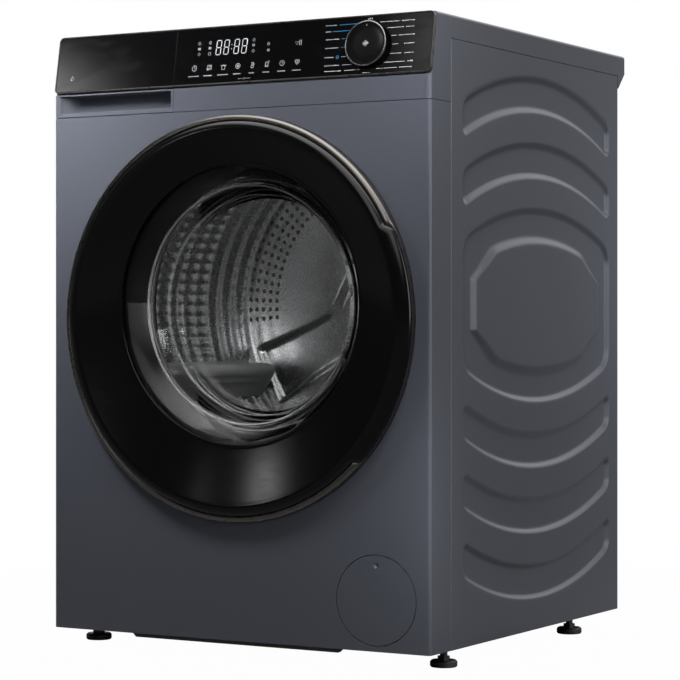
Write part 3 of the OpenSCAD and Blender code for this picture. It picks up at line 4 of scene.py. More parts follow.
import bpy
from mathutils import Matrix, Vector

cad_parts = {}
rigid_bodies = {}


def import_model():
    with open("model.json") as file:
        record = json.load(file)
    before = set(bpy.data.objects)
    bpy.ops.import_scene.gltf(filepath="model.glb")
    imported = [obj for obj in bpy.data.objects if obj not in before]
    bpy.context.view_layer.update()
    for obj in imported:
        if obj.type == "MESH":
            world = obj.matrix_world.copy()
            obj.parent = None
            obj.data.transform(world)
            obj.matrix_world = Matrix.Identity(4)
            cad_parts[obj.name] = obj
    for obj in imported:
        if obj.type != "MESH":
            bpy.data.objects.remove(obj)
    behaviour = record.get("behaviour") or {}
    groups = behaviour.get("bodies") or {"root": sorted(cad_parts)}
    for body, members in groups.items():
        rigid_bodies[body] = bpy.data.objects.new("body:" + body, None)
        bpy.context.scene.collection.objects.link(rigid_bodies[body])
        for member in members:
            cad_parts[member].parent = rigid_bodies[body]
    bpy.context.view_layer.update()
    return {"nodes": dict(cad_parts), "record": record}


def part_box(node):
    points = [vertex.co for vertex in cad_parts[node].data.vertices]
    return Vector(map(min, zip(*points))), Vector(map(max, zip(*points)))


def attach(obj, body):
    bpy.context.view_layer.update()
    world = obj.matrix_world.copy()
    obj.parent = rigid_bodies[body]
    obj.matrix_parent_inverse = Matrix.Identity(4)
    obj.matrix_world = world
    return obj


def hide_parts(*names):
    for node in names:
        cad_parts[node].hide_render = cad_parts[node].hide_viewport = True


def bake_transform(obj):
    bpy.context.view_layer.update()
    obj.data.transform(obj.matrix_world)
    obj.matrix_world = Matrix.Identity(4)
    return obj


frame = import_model()
for item in bpy.context.scene.objects:
    item.select_set(False)
mm = 0.001
print("frame loaded:", len(frame["nodes"]), "CAD nodes")


# Shader maths: a socket that can be added, multiplied and compared
class Wire:
    def __init__(self, net, socket):
        self.net = net
        self.socket = socket

    def __add__(self, other):
        return self.net.math("ADD", self, other)

    __radd__ = __add__

    def __sub__(self, other):
        return self.net.math("SUBTRACT", self, other)

    def __rsub__(self, other):
        return self.net.math("SUBTRACT", other, self)

    def __mul__(self, other):
        return self.net.math("MULTIPLY", self, other)

    __rmul__ = __mul__

    def __truediv__(self, other):
        return self.net.math("DIVIDE", self, other)

    def __pow__(self, other):
        return self.net.math("POWER", self, other)

    def __gt__(self, other):
        return self.net.math("GREATER_THAN", self, other)

    def __lt__(self, other):
        return self.net.math("LESS_THAN", self, other)

    def ramp(self, low, high, toLow=0.0, toHigh=1.0):
        inputs = {"Value": self, "From Min": low, "From Max": high,
                  "To Min": toLow, "To Max": toHigh}
        return self.net.node("ShaderNodeMapRange", {"interpolation_type": "SMOOTHSTEP"}, inputs)


# The nodes of one material or world
class Net:
    def __init__(self, owner):
        self.owner = owner
        owner.use_nodes = True
        self.tree = owner.node_tree
        self.tree.nodes.clear()

    def node(self, kind, settings=None, inputs=None, out=0):
        made = self.tree.nodes.new(kind)
        for key, value in (settings or {}).items():
            if key == "stops":
                while len(made.color_ramp.elements) < len(value):
                    made.color_ramp.elements.new(0.5)
                for stop, (place, shade) in zip(made.color_ramp.elements, value):
                    stop.position = place
                    stop.color = (shade, shade, shade, 1)
            else:
                setattr(made, key, value)
        for key, value in (inputs or {}).items():
            if isinstance(value, Wire):
                self.tree.links.new(value.socket, made.inputs[key])
            else:
                made.inputs[key].default_value = value
        return Wire(self, made.outputs[out])

    def math(self, operation, a, b):
        return self.node("ShaderNodeMath", {"operation": operation}, {0: a, 1: b})

    def mix(self, factor, a, b):
        return self.node("ShaderNodeMix", {"data_type": "RGBA"}, {0: factor, 6: a, 7: b}, 2)

    def place(self):
        return self.node("ShaderNodeTexCoord", out="Object")

    def axes(self, vector):
        split = self.node("ShaderNodeSeparateXYZ", None, {0: vector})
        return [Wire(self, s) for s in split.socket.node.outputs]

    def noise(self, vector, scale, detail=2.0, roughness=0.5):
        inputs = {"Vector": vector, "Scale": scale, "Detail": detail, "Roughness": roughness}
        return self.node("ShaderNodeTexNoise", None, inputs)

    def stretched(self, vector, factors):
        return self.node("ShaderNodeVectorMath", {"operation": "MULTIPLY"}, {0: vector, 1: factors})

    def bump(self, height, strength, distance):
        return self.node("ShaderNodeBump", None,
                         {"Height": height, "Strength": strength, "Distance": distance})

    def surface(self, inputs):
        shader = self.node("ShaderNodeBsdfPrincipled", None, inputs)
        self.finish(shader)
        return shader

    def finish(self, shader):
        ofWorld = isinstance(self.owner, bpy.types.World)
        output = self.tree.nodes.new("ShaderNodeOutputWorld" if ofWorld else "ShaderNodeOutputMaterial")
        self.tree.links.new(shader.socket, output.inputs["Surface"])


def material(name):
    return Net(bpy.data.materials.new(name))


def tint(color, factor):
    return (color[0] * factor, color[1] * factor, color[2] * factor, 1)


# Lacquered steel: fine flakes under a clear coat with a slight orange peel
def paint(name, color, peel=0.05, flakes=0.12):
    net = material(name)
    where = net.place()
    flake = net.noise(where, 2600, 1)
    cloud = net.noise(where, 3.0, 3)
    skin = net.noise(where, 420, 2)
    shade = flake * flakes + cloud * 0.06
    net.surface({
        "Base Color": net.mix(shade, tint(color, 0.93), tint(color, 1.5)),
        "Metallic": 0.25,
        "Roughness": 0.36 + flake * 0.05 + cloud * 0.04,
        "Coat Weight": 0.25,
        "Coat Roughness": 0.22,
        "Normal": net.bump(skin, peel, 0.0002),
    })
    return net.owner


# Piano black moulding or glass, with faint wiping marks
def gloss(name, color, roughness, coat=0.0, level=0.5):
    net = material(name)
    where = net.place()
    marks = net.noise(net.stretched(where, (1, 1, 4)), 26, 3).ramp(0.45, 0.75)
    dust = net.noise(where, 900, 2).ramp(0.62, 0.8)
    net.surface({
        "Base Color": net.mix(dust * 0.25, tint(color, 1), tint(color, 2.2)),
        "Roughness": roughness + marks * 0.03 + dust * 0.04,
        "Specular IOR Level": level,
        "Coat Weight": coat,
        "Coat Roughness": 0.03,
    })
    return net.owner


# Clear glass: passes light straight through and mirrors it by Fresnel's law. A ring is a painted highlight, a
# pale line about the bowl's axis that stands in for the bright rim lines at the bowl's curved corners, given by
# its inner and outer radius in metres and its strength
def glass(name, color, index, rings):
    net = material(name)
    where = net.place()
    film = net.noise(where, 18, 3)
    clear = net.node("ShaderNodeBsdfTransparent", None, {"Color": (*color, 1)})
    mirror = net.node("ShaderNodeBsdfAnisotropic", None,
                      {"Color": (1, 1, 1, 1), "Roughness": 0.015 + film * 0.03})
    share = net.node("ShaderNodeFresnel", None, {"IOR": index})
    body = net.node("ShaderNodeMixShader", None, {0: share, 1: clear, 2: mirror})
    low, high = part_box("door_glass")
    x, _, z = net.axes(where)
    x, z = x - (low.x + high.x) / 2, z - (low.z + high.z) / 2
    away = x * x + z * z
    edge = 0
    for inner, outer, strength in rings:
        middle = (inner + outer) / 2
        fade = 1 - away.ramp(middle ** 2, outer ** 2)
        edge = edge + away.ramp(inner ** 2, middle ** 2) * fade * strength
    # Painted highlight: a pale surface mixed into the glass along the rings
    paintedRimLine = net.node("ShaderNodeBsdfPrincipled", None,
                      {"Base Color": (0.75, 0.76, 0.77, 1), "Roughness": 0.25})
    net.finish(net.node("ShaderNodeMixShader", None, {0: edge, 1: body, 2: paintedRimLine}))
    return net.owner


# Brushed metal; the grain runs along the axis that is stretched least
def brushed(name, color, grain, roughness=0.3, depth=0.12, metallic=1.0):
    net = material(name)
    where = net.place()
    lines = net.noise(net.stretched(where, grain), 60, 4, 0.6)
    cloud = net.noise(where, 14, 3)
    net.surface({
        "Base Color": net.mix(lines * 0.6 + cloud * 0.4, tint(color, 0.92), tint(color, 1.08)),
        "Metallic": metallic,
        "Roughness": roughness - 0.04 + lines * 0.08,
        "Normal": net.bump(lines, depth, 0.0002),
    })
    return net.owner


# Moulded plastic with a fine spark-eroded grain
def plastic(name, color, roughness=0.5, grain=0.12, mottle=0.12):
    net = material(name)
    where = net.place()
    pits = net.noise(where, 1500, 2)
    cloud = net.noise(where, 9, 3)
    net.surface({
        "Base Color": net.mix(cloud, tint(color, 1 - mottle), tint(color, 1 + mottle)),
        "Roughness": roughness - 0.05 + cloud * 0.1,
        "Normal": net.bump(pits, grain, 0.0003),
    })
    return net.owner


# Cast surface: coarse mottling with pores
def cast(name, color, roughness, metallic, pores):
    net = material(name)
    where = net.place()
    coarse = net.noise(where, 60, 5, 0.6)
    fine = net.node("ShaderNodeTexVoronoi", None, {"Vector": where, "Scale": 420.0})
    net.surface({
        "Base Color": net.mix(coarse, tint(color, 0.75), tint(color, 1.2)),
        "Metallic": metallic,
        "Roughness": roughness + coarse * 0.12,
        "Normal": net.bump(coarse + fine * 0.6, pores, 0.0006),
    })
    return net.owner


slate = (0.104, 0.112, 0.138)
# Painted highlight rings on the bowl's front and rear corner circles
paintedRimHighlights = ((0.1595, 0.163, 0.32), (0.149, 0.1512, 0.28))
looks = {
    "painted_steel": paint("cabinetPaint", slate),
    "paint_plastic": paint("mouldingPaint", slate, 0.03, 0.08),
    "black_glass": gloss("consoleGlass", (0.0015, 0.0015, 0.0018), 0.06),
    "black_gloss": gloss("pianoBlack", (0.0014, 0.0014, 0.0016), 0.15),
    "champagne": brushed("champagneMetal", (0.23, 0.215, 0.2), (1, 8, 1), 0.28, 0.02),
    "clear_glass": glass("clearGlass", (0.85, 0.85, 0.85), 1.3, paintedRimHighlights),
    "stainless": brushed("stainlessSteel", (0.52, 0.525, 0.53), (14, 2, 14), 0.27, 0.008),
    "zinc_steel": cast("zincPlate", (0.5, 0.51, 0.52), 0.34, 1.0, 0.06),
    "white_plastic": plastic("whitePlastic", (0.74, 0.74, 0.72), 0.42),
    "grey_plastic": plastic("greyPlastic", (0.18, 0.185, 0.19), 0.48),
    "dark_plastic": plastic("darkPlastic", (0.02, 0.02, 0.022), 0.5),
    "grey_rubber": plastic("greyRubber", (0.016, 0.0165, 0.017), 0.6, 0.02),
    "counterweight": cast("counterweightCasting", (0.3, 0.29, 0.27), 0.8, 0.0, 0.5),
    "cast_aluminium": cast("castAluminium", (0.55, 0.56, 0.57), 0.42, 1.0, 0.25),
    "board_green": plastic("circuitBoard", (0.012, 0.08, 0.035), 0.35, 0.3, 0.3),
    "softener_blue": plastic("bluePlastic", (0.05, 0.16, 0.42), 0.4),
    "knob_black": gloss("knobBlack", (0.0025, 0.0025, 0.0028), 0.18),
    "paddle_grey": plastic("paddlePlastic", (0.3, 0.305, 0.31), 0.3),
    "print_white": plastic("whitePrint", (0.66, 0.67, 0.68), 0.6, 0.0, 0.04),
    "frame_black": plastic("frameBlack", (0.012, 0.012, 0.013), 0.45),
    "print_blue": plastic("bluePrint", (0.03, 0.22, 0.45), 0.6, 0.0, 0.04),
}
slotOf = {p["node"]: p["material_slot"] for p in frame["record"]["subparts"]}


def dress(piece, look):
    piece.data.materials.clear()
    piece.data.materials.append(look)


for name, node in frame["nodes"].items():
    dress(node, looks[slotOf[name]])
print("materials on the CAD nodes")


# Selection, edit mode and finishing
def pick(piece):
    bpy.ops.object.select_all(action="DESELECT")
    piece.select_set(True)
    bpy.context.view_layer.objects.active = piece


def openMesh(piece):
    pick(piece)
    bpy.ops.object.mode_set(mode="EDIT")
    bpy.ops.mesh.select_all(action="SELECT")


def closeMesh():
    bpy.ops.object.mode_set(mode="OBJECT")


def settle(piece):
    pick(piece)
    bpy.ops.object.transform_apply(location=True, rotation=True, scale=True)


def applied(piece, kind, **settings):
    pick(piece)
    modifier = piece.modifiers.new(kind.lower(), kind)
    for key, value in settings.items():
        setattr(modifier, key, value)
    bpy.ops.object.modifier_apply(modifier=modifier.name)


def rounded(piece, width, segments=2, angle=30):
    applied(piece, "BEVEL", width=width, segments=segments, limit_method="ANGLE",
            angle_limit=math.radians(angle))


def smooth(piece, angle=35):
    pick(piece)
    bpy.ops.object.shade_smooth_by_angle(angle=math.radians(angle))


def facingOut(piece):
    openMesh(piece)
    bpy.ops.mesh.remove_doubles(threshold=1e-6)
    bpy.ops.mesh.normals_make_consistent(inside=False)
    closeMesh()


def chosen(piece, test, kind="EDGE"):
    closeMesh()
    mesh = piece.data
    parts = mesh.edges if kind == "EDGE" else mesh.polygons
    for group in (mesh.vertices, mesh.edges, mesh.polygons):
        group.foreach_set("select", [False] * len(group))
    for part in parts:
        if kind == "EDGE":
            part.select = all(test(mesh.vertices[i].co) for i in part.vertices)
        else:
            part.select = test(part.center)
    bpy.ops.object.mode_set(mode="EDIT")
    bpy.ops.mesh.select_mode(type=kind)


def reshaped(piece, rule):
    for vertex in piece.data.vertices:
        vertex.co = rule(vertex.co)
    piece.data.update()


def joined(pieces, name):
    bpy.ops.object.select_all(action="DESELECT")
    for piece in pieces:
        piece.select_set(True)
    bpy.context.view_layer.objects.active = pieces[0]
    if len(pieces) > 1:
        bpy.ops.object.join()
    bpy.context.object.name = name
    return bpy.context.object


# The body that each CAD node belongs to in the record
bodyOf = {node: body for body, nodes in frame["record"]["behaviour"]["bodies"].items()
          for node in nodes}


# Gives a finished piece its body, its finish and the CAD nodes it stands for
def finished(piece, look, body, *nodes):
    settle(piece)
    dress(piece, looks[look])
    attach(piece, body)
    if nodes:
        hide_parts(*nodes)
    return piece


# A profile turned about a line along Y; a stop is a radius, a depth and the height of its middle
def turned(name, stops, middle, segments=192, ends="bridge"):
    radius, depth, height = stops[0]
    bpy.ops.object.select_all(action="DESELECT")
    bpy.ops.mesh.primitive_circle_add(vertices=segments, radius=radius, rotation=(math.radians(90), 0, 0),
                                      location=(middle, depth, height))
    piece = bpy.context.object
    piece.name = name
    settle(piece)
    openMesh(piece)
    for nextRadius, nextDepth, nextHeight in stops[1:]:
        step = (0, nextDepth - depth, nextHeight - height)
        bpy.ops.mesh.extrude_region_move(TRANSFORM_OT_translate={"value": step})
        factor = nextRadius / radius
        bpy.ops.transform.resize(value=(factor, factor, factor),
                                 center_override=(middle, nextDepth, nextHeight))
        radius, depth, height = nextRadius, nextDepth, nextHeight
    bpy.ops.mesh.select_all(action="DESELECT")
    bpy.ops.mesh.select_mode(type="EDGE")
    bpy.ops.mesh.select_non_manifold()
    if ends == "bridge":
        bpy.ops.mesh.bridge_edge_loops()
    if ends == "fill":
        bpy.ops.mesh.fill_holes(sides=0)
    closeMesh()
    facingOut(piece)
    return piece


# A copy of a CAD node's mesh with its edges rounded
def softened(node, width, look=None, segments=2, angle=30, flat=1.0):
    piece = bpy.data.objects.new(node + "_edged", frame["nodes"][node].data.copy())
    bpy.context.scene.collection.objects.link(piece)
    openMesh(piece)
    bpy.ops.mesh.remove_doubles(threshold=1e-5)
    bpy.ops.mesh.dissolve_limited(angle_limit=math.radians(flat))
    closeMesh()
    rounded(piece, width, segments, angle)
    smooth(piece, angle)
    applied(piece, "WEIGHTED_NORMAL", keep_sharp=True)
    return finished(piece, look or slotOf[node], bodyOf[node], node)


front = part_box("front_panel")[0].y
ringLow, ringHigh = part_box("door_ring")
glassLow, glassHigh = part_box("door_glass")
axisX = (ringLow.x + ringHigh.x) / 2 / mm
doorZ = (ringLow.z + ringHigh.z) / 2 / mm
drumZ = (glassLow.z + glassHigh.z) / 2 / mm
ringR = (ringHigh.x - ringLow.x) / 2 / mm


# Sizes are in millimetres from the front panel's plane, the cabinet's middle and the floor
def spot(x, y, z):
    return Vector((x * mm, front + y * mm, z * mm))


def lathe(name, stops, height, segments=192, ends="bridge"):
    placed = [(r * mm, front + y * mm, (height + (rise[0] if rise else 0)) * mm)
              for r, y, *rise in stops]
    return turned(name, placed, axisX * mm, segments, ends)


def ease(value, low, high):
    t = min(max((value - low) / (high - low), 0), 1)
    return t * t * (3 - 2 * t)


# Depth inside a rectangle with round corners, from its edge
def inset(u, v, halfU, halfV, corner):
    a, b = abs(u) - halfU + corner, abs(v) - halfV + corner
    return corner - math.hypot(max(a, 0), max(b, 0)) - min(max(a, b), 0)


# Side panels with arched pressings and a framed pad
sidePanel = {"rows": 265, "deep": 5, "radius": 590, "middle": 328, "half": 237, "band": 48, "pitch": 91,
             "top": 790, "frame": (340, 608), "pad": (385, 562), "padHalf": 199, "draft": 6,
             "padDraft": 13, "corner": 14, "padCorner": (56, 32), "sheet": 1.2}


def sideDepth(y, z):
    s = sidePanel
    u = y - s["middle"]
    bands = [s["top"] - i * s["pitch"] for i in range(2)]
    bands += [s["frame"][0] - i * s["pitch"] + s["band"] for i in range(1, 4)]
    pressed = max(inset(u, z - top + s["band"] / 2, s["half"], s["band"] / 2, s["corner"]) for top in bands)
    middle, half = sum(s["frame"]) / 2, (s["frame"][1] - s["frame"][0]) / 2
    frameIn = inset(u, z - middle, s["half"], half, s["corner"] * 1.6)
    padMiddle, padHalf = sum(s["pad"]) / 2, (s["pad"][1] - s["pad"][0]) / 2
    cutU, cutV = s["padCorner"]
    beyond = (abs(u) - s["padHalf"] + cutU) / cutU + (abs(z - padMiddle) - padHalf + cutV) / cutV
    chamfer = (1 - beyond) * cutU * cutV / math.hypot(cutU, cutV)
    padOut = -min(inset(u, z - padMiddle, s["padHalf"], padHalf, 14), chamfer)
    framed = min(ease(frameIn, 0, s["draft"]), ease(padOut, -s["padDraft"] * 0.3, s["padDraft"] * 0.7))
    return s["deep"] * max(ease(pressed, 0, s["draft"]), framed)


def sidePanelPiece(side):
    s = sidePanel
    node = "side_panel_right" if side > 0 else "side_panel_left"
    low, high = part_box(node)
    low, high = low / mm, high / mm
    y0, y1 = low.y - front / mm, high.y - front / mm
    edges = (s["middle"] - s["half"], s["middle"] + s["half"])
    columns = [y0, y0 + 1.5]
    for start, end, step in ((y0 + 4, edges[0] - 8, 9), (edges[0] - 6, edges[0] + 60, 2.4),
                             (edges[0] + 66, edges[1] - 66, 10), (edges[1] - 60, edges[1] + 6, 2.4),
                             (edges[1] + 8, y1 - 4, 8)):
        count = max(int((end - start) / step), 1)
        columns += [start + (end - start) * i / count for i in range(count + 1)]
    columns += [y1 - 1.5, y1]
    rows = s["rows"]
    bpy.ops.object.select_all(action="DESELECT")
    bpy.ops.mesh.primitive_grid_add(x_subdivisions=len(columns) - 1, y_subdivisions=rows, size=2)
    piece = bpy.context.object
    piece.name = node + "_pressed"
    outer = high.x if side > 0 else low.x
    top, bottom = high.z, low.z
    bandTop, bandBottom = s["top"], s["frame"][0] - 3 * s["pitch"]

    def bend(z):
        if z > s["pad"][1]:
            return 1 - ease(z, bandTop, top)
        if z < s["pad"][0]:
            return -1 + ease(-z, -bandBottom, -bottom)
        return -1 + 2 * (z - s["pad"][0]) / (s["pad"][1] - s["pad"][0])

    def place(point):
        y = columns[round((point.x + 1) / 2 * (len(columns) - 1))]
        z = bottom + (top - bottom) * (point.y + 1) / 2
        sag = math.sqrt(s["radius"] ** 2 - (y - s["middle"]) ** 2) - s["radius"]
        return spot(outer - side * sideDepth(y, z), y, z + sag * bend(z))

    reshaped(piece, place)
    openMesh(piece)
    bpy.ops.mesh.normals_make_consistent(inside=False)
    closeMesh()
    if (piece.data.polygons[0].normal.x > 0) != (side > 0):
        openMesh(piece)
        bpy.ops.mesh.flip_normals()
        closeMesh()
    for edgeY in (y0, y1):
        chosen(piece, lambda p: abs(p.y - front - edgeY * mm) < 0.0004)
        bpy.ops.mesh.extrude_region_move(TRANSFORM_OT_translate={"value": (-side * 0.011, 0, 0)})
        closeMesh()
    for edgeY in (y0, y1):
        chosen(piece, lambda p: abs(p.y - front - edgeY * mm) < 0.0004 and abs(p.x - outer * mm) < 0.0004)
        bpy.ops.mesh.bevel(offset=0.0014, segments=3)
        closeMesh()
    applied(piece, "SOLIDIFY", thickness=s["sheet"] * mm, offset=-1)
    smooth(piece, 50)
    return finished(piece, "painted_steel", "cabinet", node)


for side in (1, -1):
    sidePanelPiece(side)
print("side panels")

# Door: metal ring, black cover with the grip lapping over the ring, frame, glass bowl
door = {"cover": 263.5, "crest": 252.5, "ringFront": -15, "coverFront": -20, "window": 188,
        "grip": (-43, 25), "gripEase": 2.2, "lapY": -9.6, "lapFrom": 256}


def gripWeight(point):
    angle = math.degrees(math.atan2(point.z / mm - doorZ, point.x / mm - axisX))
    low, high = door["grip"]
    return ease(angle, low - door["gripEase"], low) * (1 - ease(angle, high, high + door["gripEase"]))


ringStops = [(door["cover"] + 0.9, -10), (door["cover"] + 0.9, -14.4), (door["cover"] + 1.5, door["ringFront"]),
             (266.5, -14.9), (268, -14.5), (269.5, -13.8), (270.8, -12.8), (271.8, -11.4), (ringR, -9.4),
             (ringR, -2.2), (ringR - 0.7, -1.5), (260.3, -1.5), (260.3, -9.2)]
ring = lathe("door_ring_turned", ringStops, doorZ, 360)


def notched(point):
    lowest = front + door["lapY"] * mm
    if point.y < lowest:
        return Vector((point.x, point.y + (lowest - point.y) * gripWeight(point), point.z))
    return point


reshaped(ring, notched)
smooth(ring, 40)
finished(ring, "champagne", "door", "door_ring")

rise = drumZ - doorZ
coverStops = [(door["cover"] - 6, -10.4, 0), (door["cover"] - 0.5, -10.4, 0), (door["cover"], -11, 0),
              (door["cover"], -14.4, 0), (door["cover"] - 0.6, -15.3, 0)]
coverStops += [(r, door["coverFront"] + 4.5 * ((r - door["crest"]) / 11) ** 2, 0)
               for r in (260.5, 258, 255.5, 252.5, 249.5)]
for step in (0, 0.06, 0.14, 0.25, 0.4, 0.55, 0.7, 0.82, 0.91, 0.965, 0.99):
    r = 247.5 + (door["window"] + 3.4 - 247.5) * step
    y = door["coverFront"] + 1 + 19.6 * (1.12 * step - 0.12 * step ** 2)
    coverStops.append((r, y, rise * step))
lip = [(2.4, 0.4), (1.2, 0.3), (0, 1), (0, 5.2), (4, 5.2), (8, 3.6)]
coverStops += [(door["window"] + out, y, rise) for out, y in lip] + [(246.5, -15.5, 0)]
cover = lathe("door_cover_turned", coverStops, doorZ, 360)


def lapped(point):
    away = Vector((point.x - axisX * mm, 0, point.z - doorZ * mm))
    reach = away.length / mm
    if reach < door["lapFrom"] or point.y > front - 10 * mm:
        return point
    lap = (ringR - 0.5 - door["cover"]) * mm
    out = ease(reach, door["lapFrom"], door["cover"]) * lap * gripWeight(point)
    return point + away.normalized() * out


reshaped(cover, lapped)
smooth(cover, 40)
finished(cover, "black_gloss", "door", "door_cover")

bowlStops = [(0.6, 96), (118, 95.8), (136, 95), (144, 92), (148.5, 87), (150.5, 81), (161, 36), (164, 32),
             (184, 11.2), (187, 10.4), (197.5, 10.4), (197.5, 6.4), (184.5, 6.4), (181, 7.4), (159, 30),
             (156.5, 33.5), (146, 79), (143.5, 84), (139.5, 88), (134, 90.2), (116, 91), (0.6, 91)]
bowl = lathe("door_glass_blown", bowlStops, drumZ, 240, "fill")
smooth(bowl, 30)
finished(bowl, "clear_glass", "door", "door_glass")
softened("door_inner_frame", 0.0008, "frame_black")
print("door")

# Bellows between the port and the tub
gasketStops = [(207.7, 12), (207.7, 27), (203, 33), (202, 36), (202, 43), (201, 47), (198.5, 51),
               (198, 54), (198, 59), (197, 61.5), (196.7, 64), (196.7, 73), (193, 86.5), (191.5, 88),
               (189, 87), (190, 84), (193.5, 72), (193.2, 68), (193.2, 60), (193, 57.5), (193, 55.5),
               (194.5, 53), (197, 48), (198, 44), (198, 36), (197, 33), (194, 33), (172, 37),
               (169, 36.4), (168, 34.4), (170, 32), (196, 26), (203, 22.5), (204, 20), (204, 12)]
gasket = lathe("door_gasket_folds", gasketStops, drumZ, 192)
smooth(gasket, 60)


# Gives a piece between the cabinet and the tub its node's finish, hides the node and bakes its place into the
# mesh
def stretched(piece, node, start, end):
    settle(piece)
    dress(piece, looks[slotOf[node]])
    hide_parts(node)
    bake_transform(piece)


stretched(gasket, "door_gasket", spot(axisX, 24, drumZ), spot(axisX, 62, drumZ))
for node in ("fill_hose", "suspension_springs"):
    nodeLow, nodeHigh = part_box(node)
    piece = bpy.data.objects.new(node + "_flexing", frame["nodes"][node].data.copy())
    bpy.context.scene.collection.objects.link(piece)
    smooth(piece, 40)
    stretched(piece, node, (nodeLow.x, nodeLow.y, nodeHigh.z), (nodeLow.x, nodeLow.y, nodeLow.z))
print("gasket, hose and springs")

# Drum: pillow-embossed wall with beads at the rear, a rolled front, a starred back and three paddles
drum = {"turn": -3, "radius": 243.5, "y": (95, 427), "pillows": (110, 302), "cells": (96, 6), "fine": 6,
        "pillow": 3.0, "hole": 0.5, "beads": (3, 4), "back": 413, "sheet": 0.8}


def drumWall():
    d = drum
    around, along = d["cells"][0] * d["fine"], d["cells"][1] * d["fine"]
    y0, y1 = d["pillows"]
    beadCount, beadRise = d["beads"]
    depths = [d["y"][0] + 0.2, y0 - 8, y0 - 4] + [y0 + (y1 - y0) * i / along for i in range(along + 1)]
    beadSteps = 8 * beadCount
    depths += [y1 + (d["back"] - y1) * i / beadSteps for i in range(1, beadSteps + 1)] + [d["y"][1]]
    piece = lathe("drum_wall_pillows", [(d["radius"], y) for y in depths], drumZ, around, "open")
    halfStep = math.pi / around

    def cell(x, y, z):
        u = (math.atan2(z, x) + halfStep) / math.tau * d["cells"][0]
        v = (y - y0) / (y1 - y0) * d["cells"][1] + 0.5 / d["fine"]
        return u, v

    def pressed(point):
        x, z, y = point.x / mm - axisX, point.z / mm - drumZ, (point.y - front) / mm
        raised = 0
        if y0 <= y <= y1:
            u, v = cell(x, y, z)
            pillow = abs(math.sin(math.pi * u) * math.sin(math.pi * v))
            raised = d["pillow"] * pillow ** 0.5 * ease(min(y - y0, y1 - y), 0, 6)
        elif y1 < y <= d["back"]:
            raised = beadRise * math.sin(math.pi * beadCount * (y - y1) / (d["back"] - y1)) ** 2
        away = Vector((x, 0, z)).normalized() * (d["radius"] - raised)
        return spot(axisX + away.x, y, drumZ + away.z)

    def atHole(centre):
        x, z, y = centre.x / mm - axisX, centre.z / mm - drumZ, (centre.y - front) / mm
        if not y0 + 6 < y < y1 - 6:
            return False
        u, v = cell(x, y, z)
        near = abs(u - round(u)) < 0.12 and abs(v - round(v)) < 0.12
        return near and (round(u) + round(v)) % 2 == 1

    reshaped(piece, pressed)
    chosen(piece, atHole, "FACE")
    bpy.ops.mesh.inset(thickness=d["hole"] * mm, use_individual=True)
    bpy.ops.mesh.delete(type="FACE")
    closeMesh()
    applied(piece, "SOLIDIFY", thickness=d["sheet"] * mm, offset=0)
    rimStops = [(243, 95.2), (190, 95.2), (187, 94.3), (185.4, 95.6), (185, 97.4), (186, 99.3),
                (188.3, 99.9), (190.6, 98.6), (191.2, 96.6), (243, 96.6)]
    rim = lathe("drum_rim", rimStops, drumZ)
    whole = joined([piece, rim], "drum_wall_pillows")
    smooth(whole, 50)
    return finished(whole, "stainless", "drum", "drum_wall")


drumWall()
print("drum wall")

star = {"radius": 243, "plate": 413, "thick": 1.4, "arms": (90, 210, 330), "half": (22, 44), "tip": 226,
        "deep": 9, "hub": 74, "slope": 11, "blend": 16, "nose": (3.5, 40, 52), "rings": 84,
        "segments": 420, "hole": 3.4, "bands": (30, 150, 270), "rows": (190, 202, 214, 226, 237),
        "step": 3.76, "across": 21}


def drumBack():
    d = star
    radii = [0.6] + [d["radius"] * (i + 1) / d["rings"] for i in range(d["rings"])]
    rear = d["plate"] + d["thick"]
    stops = [(r, d["plate"]) for r in radii] + [(r, rear) for r in reversed(radii)]
    piece = lathe("drum_back_star", stops, drumZ, d["segments"], "fill")

    def pressed(point):
        x, z = point.x / mm - axisX, point.z / mm - drumZ
        r = math.hypot(x, z)
        reach = math.exp((d["hub"] - r) / d["blend"])
        for arm in d["arms"]:
            turn = math.radians(arm + drum["turn"])
            along = x * math.cos(turn) + z * math.sin(turn)
            across = z * math.cos(turn) - x * math.sin(turn)
            if along > 0:
                half = d["half"][0] + (d["half"][1] - d["half"][0]) * along / d["radius"]
                reach += math.exp(min(half - abs(across), d["tip"] - along) / d["blend"])
        inside = d["blend"] * math.log(reach)
        deep = d["deep"] * ease(inside, -d["slope"] / 2, d["slope"] / 2)
        nose, crest, foot = d["nose"]
        deep -= nose * ease(r, 0, crest) * (1 - ease(r, crest, foot)) if r < foot else 0
        return Vector((point.x, point.y + deep * mm, point.z))

    reshaped(piece, pressed)
    punches = []
    for band in d["bands"]:
        for r in d["rows"]:
            for j in range(d["across"]):
                angle = math.radians(band + drum["turn"] + (j - (d["across"] - 1) / 2) * d["step"])
                punches.append((r * math.cos(angle), r * math.sin(angle)))
    bpy.ops.object.select_all(action="DESELECT")
    bpy.ops.mesh.primitive_cylinder_add(vertices=10, radius=d["hole"] * mm, depth=0.02,
                                        rotation=(math.radians(90), 0, 0))
    punch = bpy.context.object
    settle(punch)
    made = []
    for x, z in punches:
        copy = bpy.data.objects.new("punch", punch.data.copy())
        bpy.context.scene.collection.objects.link(copy)
        copy.location = spot(axisX + x, d["plate"], drumZ + z)
        made.append(copy)
    bpy.data.objects.remove(punch)
    tool = joined(made, "punches")
    settle(tool)
    applied(piece, "BOOLEAN", operation="DIFFERENCE", solver="EXACT", object=tool)
    bpy.data.objects.remove(tool)
    smooth(piece, 40)
    return finished(piece, "stainless", "drum", "drum_back")


drumBack()
print("drum back")

paddle = {"section": ((-33, 0), (-30, 5), (-23, 13), (-16, 27), (-10, 39), (-4, 45), (4, 45), (10, 39),
                      (16, 27), (23, 13), (30, 5), (33, 0)), "angles": (210, 90, 330),
          "ends": ((113, 0.62), (118, 0.84), (128, 0.97), (145, 1)), "last": 400}


